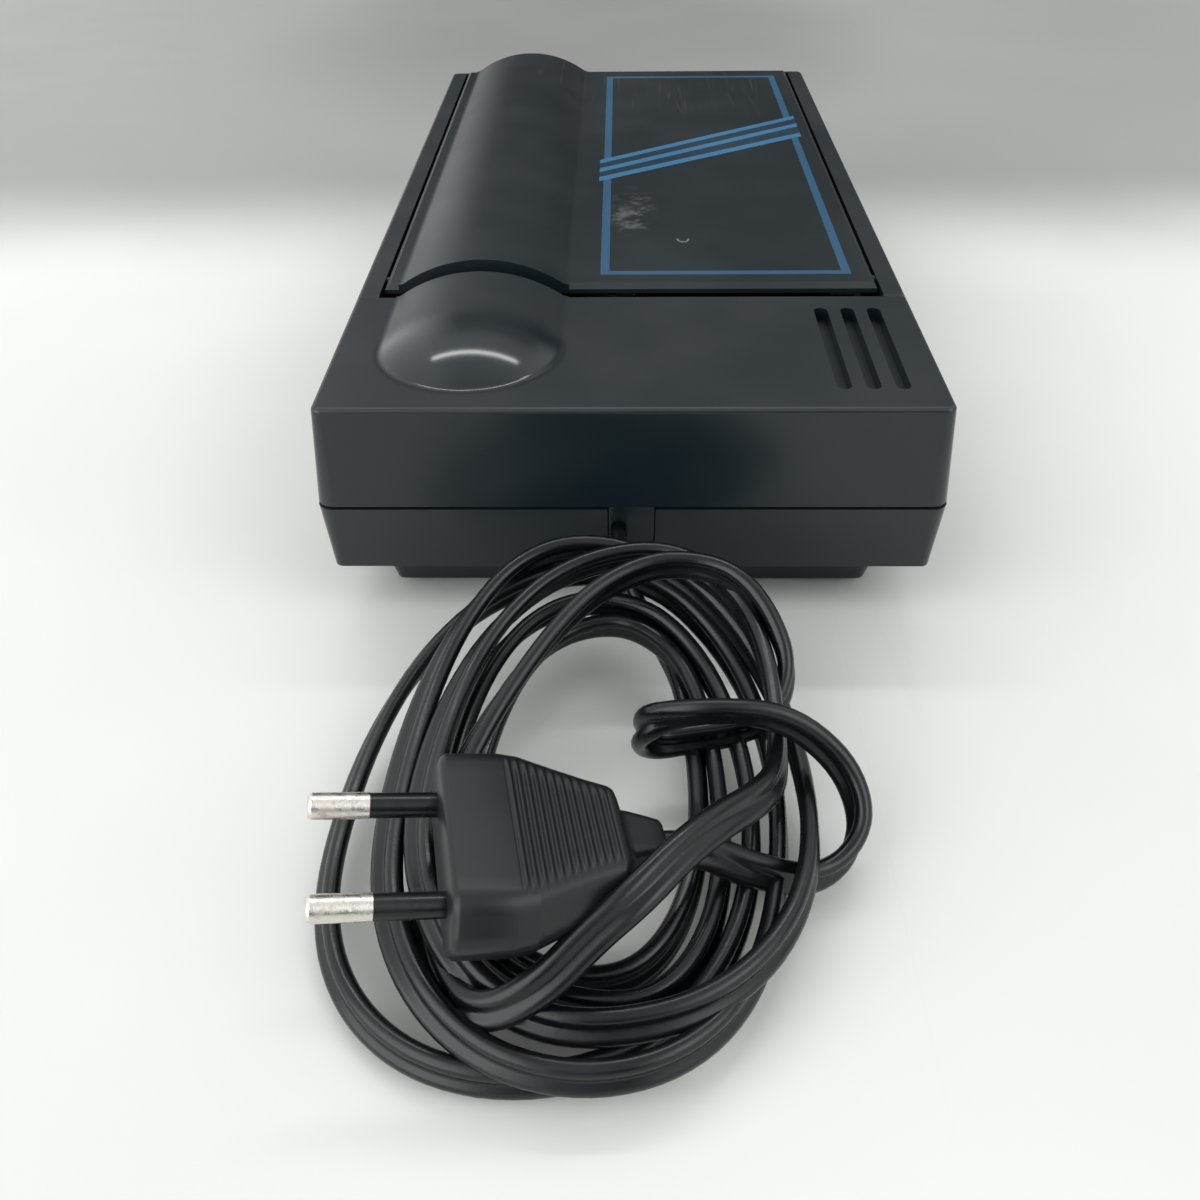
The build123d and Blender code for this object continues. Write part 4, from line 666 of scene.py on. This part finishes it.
def settled(points):
    """Let turns that would run through each other slide apart, the later one over the earlier."""
    rest = np.array(points, float)
    weights = spline_weights(len(points), POINTS_A_SPAN)
    share = weights / weights.sum(axis=0)
    free = np.ones((len(points), 1))
    free[:FIXED_START] = 0.0
    free[-FIXED_END:] = 0.0
    room = np.array(CORD_ROOM)
    order = np.arange(len(weights))
    apart = np.abs(order[:, None] - order[None]) > NEIGHBOURS
    later = np.sign(order[:, None] - order[None])
    spots = rest.copy()
    for _ in range(ROUNDS):
        line = weights @ spots
        gap = (line[:, None] - line[None]) / room
        gap[..., 2] += LATER_LIFT * later
        reach = np.sqrt((gap**2).sum(axis=2)) + 1e-9
        close = apart & (reach < 1.0)
        # Each of two passes goes half of the way apart.
        push = np.where(close, (1.0 - reach) / reach, 0.0)[..., None] * gap * room * 0.5
        push = push.sum(axis=1) + clear_of_plug(line)
        spots += free * (PUSH * share.T @ push + PULL_BACK * (rest - spots))
        spots[:, 2] = np.maximum(spots[:, 2], LOWEST)
    return spots


def spline_line(points):
    """Points of the smooth line that has these control points."""
    curve = bpy.data.curves.new("route", "CURVE")
    curve.dimensions = "3D"
    spline = curve.splines.new("NURBS")
    spline.points.add(len(points) - 1)
    for target, point in zip(spline.points, points):
        target.co = (*point, 1)
    spline.order_u = 3
    spline.use_endpoint_u = True
    curve.resolution_u = SECTIONS_A_SPAN
    route = bpy.data.objects.new("route", curve)
    bpy.context.scene.collection.objects.link(route)
    bpy.context.view_layer.update()
    line = bpy.data.meshes.new_from_object(route)
    places = [vertex.co.copy() for vertex in line.vertices]
    bpy.data.objects.remove(route)
    bpy.data.meshes.remove(line)
    return places


def cord_section():
    """Outline of the flat twin cord: two round lobes with a groove between them, in millimetres."""
    outline = []
    for side in (1, -1):
        for step in range(LOBE_STEPS):
            angle = side * radians(-LOBE_ANGLE + 2 * LOBE_ANGLE * step / (LOBE_STEPS - 1))
            across = side * LOBE_RADIUS + side * LOBE_RADIUS * cos(angle)
            outline.append((across, LOBE_RADIUS * sin(angle)))
    return outline


def cord_mesh():
    """Flat twin cord along its route; its wide side stands upright where its lean is 0."""
    plan = [*LEAD, *coil_points(), *LAST_TURN, *WRAP]
    spots = settled([point[:3] for point in plan])
    places = spline_line([mm(*spot) for spot in spots])
    along_places, along_plan = np.linspace(0, 1, len(places)), np.linspace(0, 1, len(plan))
    leans = np.interp(along_places, along_plan, [point[3] for point in plan])
    outline = cord_section()
    rings = []
    wide = Vector((0, 0, 1))
    for index, place in enumerate(places):
        before = places[max(index - 1, 0)]
        after = places[min(index + 1, len(places) - 1)]
        way = (after - before).normalized()
        goal = Matrix.Rotation(radians(float(leans[index])), 3, way) @ Vector((0, 0, 1))
        wide = wide * TWIST_KEPT + goal * (1 - TWIST_KEPT) if index else goal
        wide = (wide - way * wide.dot(way)).normalized()
        thin = way.cross(wide)
        rings.append([place + (wide * across + thin * out) * 0.001 for across, out in outline])
    vertices, faces = skin(rings)
    piece = mesh_piece("mains_cord", vertices, faces, "cord_pvc")
    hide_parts("cord_lead", "cord_coil", "cord_tail")
    return piece, places


# ------------------------------------------------------------------ plug
PLUG_FRONT = mm(-28.3, -213.8, 27.0)
PLUG_TURN = radians(11)
PLUG_DIP = radians(11)
# Middle of the body behind its face, and half the room along, across and through it
PLUG_MIDDLE = 13.5
PLUG_ROOM = (16.5, 18.0, 9.0)
# How much of the half room across is lost with each millimetre towards the collar
PLUG_NARROWS = 0.5
# Distance behind the face, half width, half width of the flat faces, half thickness, in millimetres
PLUG_STATIONS = (
    (0.0, 16.5, 13.0, 5.9), (0.35, 17.2, 13.6, 6.5), (1.1, 17.65, 14.0, 6.85), (9.0, 17.6, 14.0, 6.85),
    (12.0, 17.1, 13.4, 6.75), (17.0, 14.6, 11.2, 6.45), (22.0, 12.2, 9.2, 6.1), (25.4, 10.7, 8.1, 5.85),
    (26.2, 10.1, 7.6, 5.5), (26.6, 8.6, 6.4, 5.0), (26.9, 5.6, 4.4, 4.5), (28.0, 5.4, 4.3, 4.3),
    (31.0, 4.9, 3.7, 3.7), (33.0, 4.5, 3.3, 3.2), (33.5, 4.0, 2.9, 2.8),
)
RIB_RANGE = (9.6, 25.2)
RIB_COUNT = 12
RIB_HEIGHT = 0.55
# How far the ribs keep from the flat face's edge, over what width they fade out there, how sharp
# their crests are, and what share of their height is sunk
RIB_MARGIN = 1.6
RIB_FADE = 0.8
RIB_SHARPNESS = 1.5
RIB_SUNK = 0.35
# Closer sections along the ribs: the first one's distance behind the face, their spacing, their number
RIB_SECTIONS = (9.2, 0.16, 101)
# Radius of the body's corners, at most this share of its half thickness; points in each corner and side
CORNER_RADIUS = 2.2
CORNER_SHARE = 0.32
ARC_STEPS = 4
SIDE_STEPS = 14
# Share of the half thickness above which a point belongs to the flat face
FLAT_FROM = 0.97


def plug_axes():
    """Directions along the plug, across its pins and through its thickness."""
    along = Vector((cos(PLUG_TURN) * cos(PLUG_DIP), sin(PLUG_TURN) * cos(PLUG_DIP), -sin(PLUG_DIP)))
    across = Vector((-sin(PLUG_TURN), cos(PLUG_TURN), 0))
    return along, across, along.cross(across)


def rounded_corners(corners, radius):
    """Outline through the corners with rounded turns and evenly divided sides."""
    outline = []
    count = len(corners)
    turns = []
    for index, corner in enumerate(corners):
        before, after = corners[index - 1], corners[(index + 1) % count]
        back, on = (before - corner).normalized(), (after - corner).normalized()
        arc = []
        for step in range(ARC_STEPS + 1):
            share = step / ARC_STEPS
            one = corner + back * radius * (1 - share)
            two = corner + on * radius * share
            arc.append(one.lerp(two, share))
        turns.append(arc)
    for index, arc in enumerate(turns):
        outline.extend(arc)
        goal = turns[(index + 1) % count][0]
        for step in range(1, SIDE_STEPS):
            outline.append(arc[-1].lerp(goal, step / SIDE_STEPS))
    return outline


def plug_sizes(along):
    """Half width, flat half width and half thickness at a distance behind the plug's face."""
    for here, after in zip(PLUG_STATIONS, PLUG_STATIONS[1:]):
        if along <= after[0]:
            share = (along - here[0]) / (after[0] - here[0])
            return [one + (two - one) * share for one, two in zip(here[1:], after[1:])]
    return list(PLUG_STATIONS[-1][1:])


def rib_rise(along, across, flat):
    """Height of the grip ribs over the flat face."""
    low, high = RIB_RANGE
    if not low < along < high:
        return 0.0
    wave = 0.5 - 0.5 * cos(2 * pi * RIB_COUNT * (along - low) / (high - low))
    edge = min(1.0, max(0.0, (flat - RIB_MARGIN - abs(across)) / RIB_FADE))
    return RIB_HEIGHT * (wave**RIB_SHARPNESS - RIB_SUNK) * edge


def plug_mesh():
    """Moulded plug body with a softly six-sided section, grip ribs and a collar."""
    along_way, across_way, through_way = plug_axes()
    first, spacing, number = RIB_SECTIONS
    ribbed = {first + spacing * step for step in range(number)}
    stops = sorted({station[0] for station in PLUG_STATIONS} | ribbed)
    rings = []
    for along in stops:
        half, flat, thick = plug_sizes(along)
        corners = [Vector(corner) for corner in (
            (half, 0), (flat, thick), (-flat, thick), (-half, 0), (-flat, -thick), (flat, -thick),
        )]
        ring = []
        for point in rounded_corners(corners, min(CORNER_RADIUS, CORNER_SHARE * thick)):
            through = point.y
            if abs(point.y) > FLAT_FROM * thick:
                rise = rib_rise(along, point.x, flat)
                through += rise if point.y > 0 else -rise
            spot = along_way * along + across_way * point.x + through_way * through
            ring.append(PLUG_FRONT + spot * 0.001)
        rings.append(ring)
    vertices, faces = skin(rings)
    piece = mesh_piece("plug_moulding", vertices, faces, "cord_pvc")
    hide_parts("plug_body")
    return piece


PLUG_BLACK = (0.0058, 0.0076, 0.0088)


def plug_surface():
    """Plug body: the cord's PVC, duller and a little dusty."""
    surface = moulded("plug_pvc", PLUG_BLACK, 0.36, grain=0.0005, spread=0.07, dust=0.3)
    surface.reflect(0.36)
    return surface


plug = plug_mesh()
plug.data.materials[0] = plug_surface().material
cord, cord_line = cord_mesh()


# ------------------------------------------------------------------ floor, light and camera
TABLE_SHADES = ((0.62, 0.627, 0.604), (0.648, 0.652, 0.626))
# Painted shade: the grey behind the object, the darker grey of its painted shadow, and the grey far away
PAINTED_SHADE_GREYS = ((0.275, 0.278, 0.271), (0.193, 0.194, 0.191))
FAR_PAINTED_SHADE = (0.434, 0.437, 0.427)
MARK_SHADE = (0.5, 0.504, 0.493)
# The painted shadow behind the object, where the painted grey is darkest, is an oval.
PAINTED_SHADOW_PLACE = (-0.03, 0.42)
PAINTED_SHADOW_REACH = (0.2, 0.24)
# Where along Y the table turns from pale to the grey of painted shade, and where it gets paler again far
# away
PAINTED_SHADE_FROM = (0.065, 0.18)
FAR_FROM = (0.6, 2.0)
TABLE_SIZE = 12


def floor_surface():
    """Pale table top with painted shade behind the object: grey, darkest in an oval painted shadow."""
    surface = Surface("table_top", TABLE_SHADES[0], 0.5)
    y = surface.axis("Y")
    cloudy = surface.noise(0.12, 3.0, 0.5)
    marks = surface.scratches(0.02, radians(70), 0.05)
    tone = surface.blend(surface.span(cloudy, 0.3, 0.7), *TABLE_SHADES)
    # Painted shade and painted shadow: the table turns grey behind the object and is darkest in an oval.
    painted_shadow_oval = surface.oval(PAINTED_SHADOW_PLACE, PAINTED_SHADOW_REACH)
    painted_shade = surface.blend(surface.span(painted_shadow_oval, 0.0, 1.0, 0.8, 0.0), *PAINTED_SHADE_GREYS)
    level = surface.math("ADD", y, surface.math("MULTIPLY", surface.noise(0.08, 2.0), 0.02))
    tone = surface.blend(surface.span(level, *PAINTED_SHADE_FROM), tone, painted_shade)
    far = surface.span(y, *FAR_FROM, 0.0, 0.6)
    tone = surface.blend(far, tone, FAR_PAINTED_SHADE)
    surface.color(surface.blend(surface.math("MULTIPLY", marks, 0.2), tone, MARK_SHADE))
    surface.roughness(surface.span(cloudy, 0.3, 0.7, 0.45, 0.55))
    return surface


def make_floor():
    """Flat table top under everything."""
    bpy.ops.mesh.primitive_plane_add(size=TABLE_SIZE, location=(0, 0, 0))
    floor = bpy.context.object
    floor.name = "table"
    floor.data.materials.append(floor_surface().material)


ROOM_TINT = (0.985, 1.0, 0.998)
# Radiance of the light box: its left side, its right side low down and high up, its back low down
# and half way up, its top, and its open front low down and high up
SIDE_LEFT = 1.2
SIDE_RIGHT_LOW = 0.4
SIDE_RIGHT_HIGH = 1.3
BACK_LOW = 0.04
BACK_MIDDLE = 0.26
OVERHEAD = 0.88
FRONT_LOW = 0.14
FRONT_HIGH = 0.7
# How much brighter the sides are in front of the object than beside it
FRONT_SIDES = 2.9
# One long lamp beyond the object and over it: its place, what it is aimed at, size in metres, watts
STRIP_PLACE = Vector((-0.06, 0.46, 1.2))
STRIP_TARGET = Vector((-0.06, -0.05, 0))
STRIP_SIZE = (1.15, 0.07)
STRIP_POWER = 3.6


def make_room():
    """Radiance of a light box by direction: bright sides, grey behind, darker open front.

    The bounds of the spans are parts of the direction, from -1 to 1.
    """
    world = bpy.data.worlds.new("room")
    world.use_nodes = True
    room = Shading(world.node_tree, "Generated")
    x, y, z = (room.axis(name) for name in "XYZ")
    low = room.span(z, 0.25, 0.52, BACK_LOW, BACK_MIDDLE)
    back = room.lerp(room.span(z, 0.52, 0.8), low, OVERHEAD)
    front = room.span(z, 0.35, 0.7, FRONT_LOW, FRONT_HIGH)
    middle = room.lerp(room.span(y, -0.05, 0.2), front, back)
    right = room.span(z, 0.2, 0.6, SIDE_RIGHT_LOW, SIDE_RIGHT_HIGH)
    ahead = room.span(y, -0.3, 0.02, FRONT_SIDES, 1.0)
    left_side = room.math("MULTIPLY", ahead, SIDE_LEFT)
    right_side = room.math("MULTIPLY", ahead, right)
    radiance = room.lerp(room.span(x, -0.5, -0.14, 1.0, 0.0), middle, left_side)
    radiance = room.lerp(room.span(x, 0.3, 0.62), radiance, right_side)
    backdrop = world.node_tree.nodes["Background"]
    backdrop.inputs["Color"].default_value = (*ROOM_TINT, 1)
    room.link(radiance, backdrop.inputs["Strength"])
    bpy.context.scene.world = world


def make_lamp():
    """Soft lamp whose streak shows on the case's top."""
    data = bpy.data.lights.new("led_strip", "AREA")
    data.shape = "RECTANGLE"
    data.size, data.size_y = STRIP_SIZE
    data.energy = STRIP_POWER
    lamp = bpy.data.objects.new("led_strip", data)
    bpy.context.scene.collection.objects.link(lamp)
    lamp.location = STRIP_PLACE
    lamp.rotation_mode = "QUATERNION"
    lamp.rotation_quaternion = (STRIP_TARGET - STRIP_PLACE).to_track_quat("-Z", "Y")


CAMERA_PLACE = mm(-2.5, -322.1, 159.4)
CAMERA_PITCH = radians(38.33)
CAMERA_YAW = radians(-1.21)
CAMERA_ROLL = radians(-0.68)
FOCAL_LENGTH = 34.65


def make_camera():
    """Camera where the photograph was taken from."""
    data = bpy.data.cameras.new("camera")
    data.sensor_width = 36.0
    data.lens = FOCAL_LENGTH
    data.clip_start = 0.01
    camera = bpy.data.objects.new("camera", data)
    bpy.context.scene.collection.objects.link(camera)
    level = Vector((sin(CAMERA_YAW), cos(CAMERA_YAW), 0))
    right = Vector((cos(CAMERA_YAW), -sin(CAMERA_YAW), 0))
    forward = level * cos(CAMERA_PITCH) - Vector((0, 0, sin(CAMERA_PITCH)))
    up = right.cross(forward)
    rolled_right = right * cos(CAMERA_ROLL) + up * sin(CAMERA_ROLL)
    rolled_up = up * cos(CAMERA_ROLL) - right * sin(CAMERA_ROLL)
    turn = Matrix((rolled_right, rolled_up, -forward)).transposed()
    camera.matrix_world = Matrix.Translation(CAMERA_PLACE) @ turn.to_4x4()
    bpy.context.scene.camera = camera


make_floor()
make_room()
make_lamp()
make_camera()
bpy.context.scene.view_settings.view_transform = "Standard"
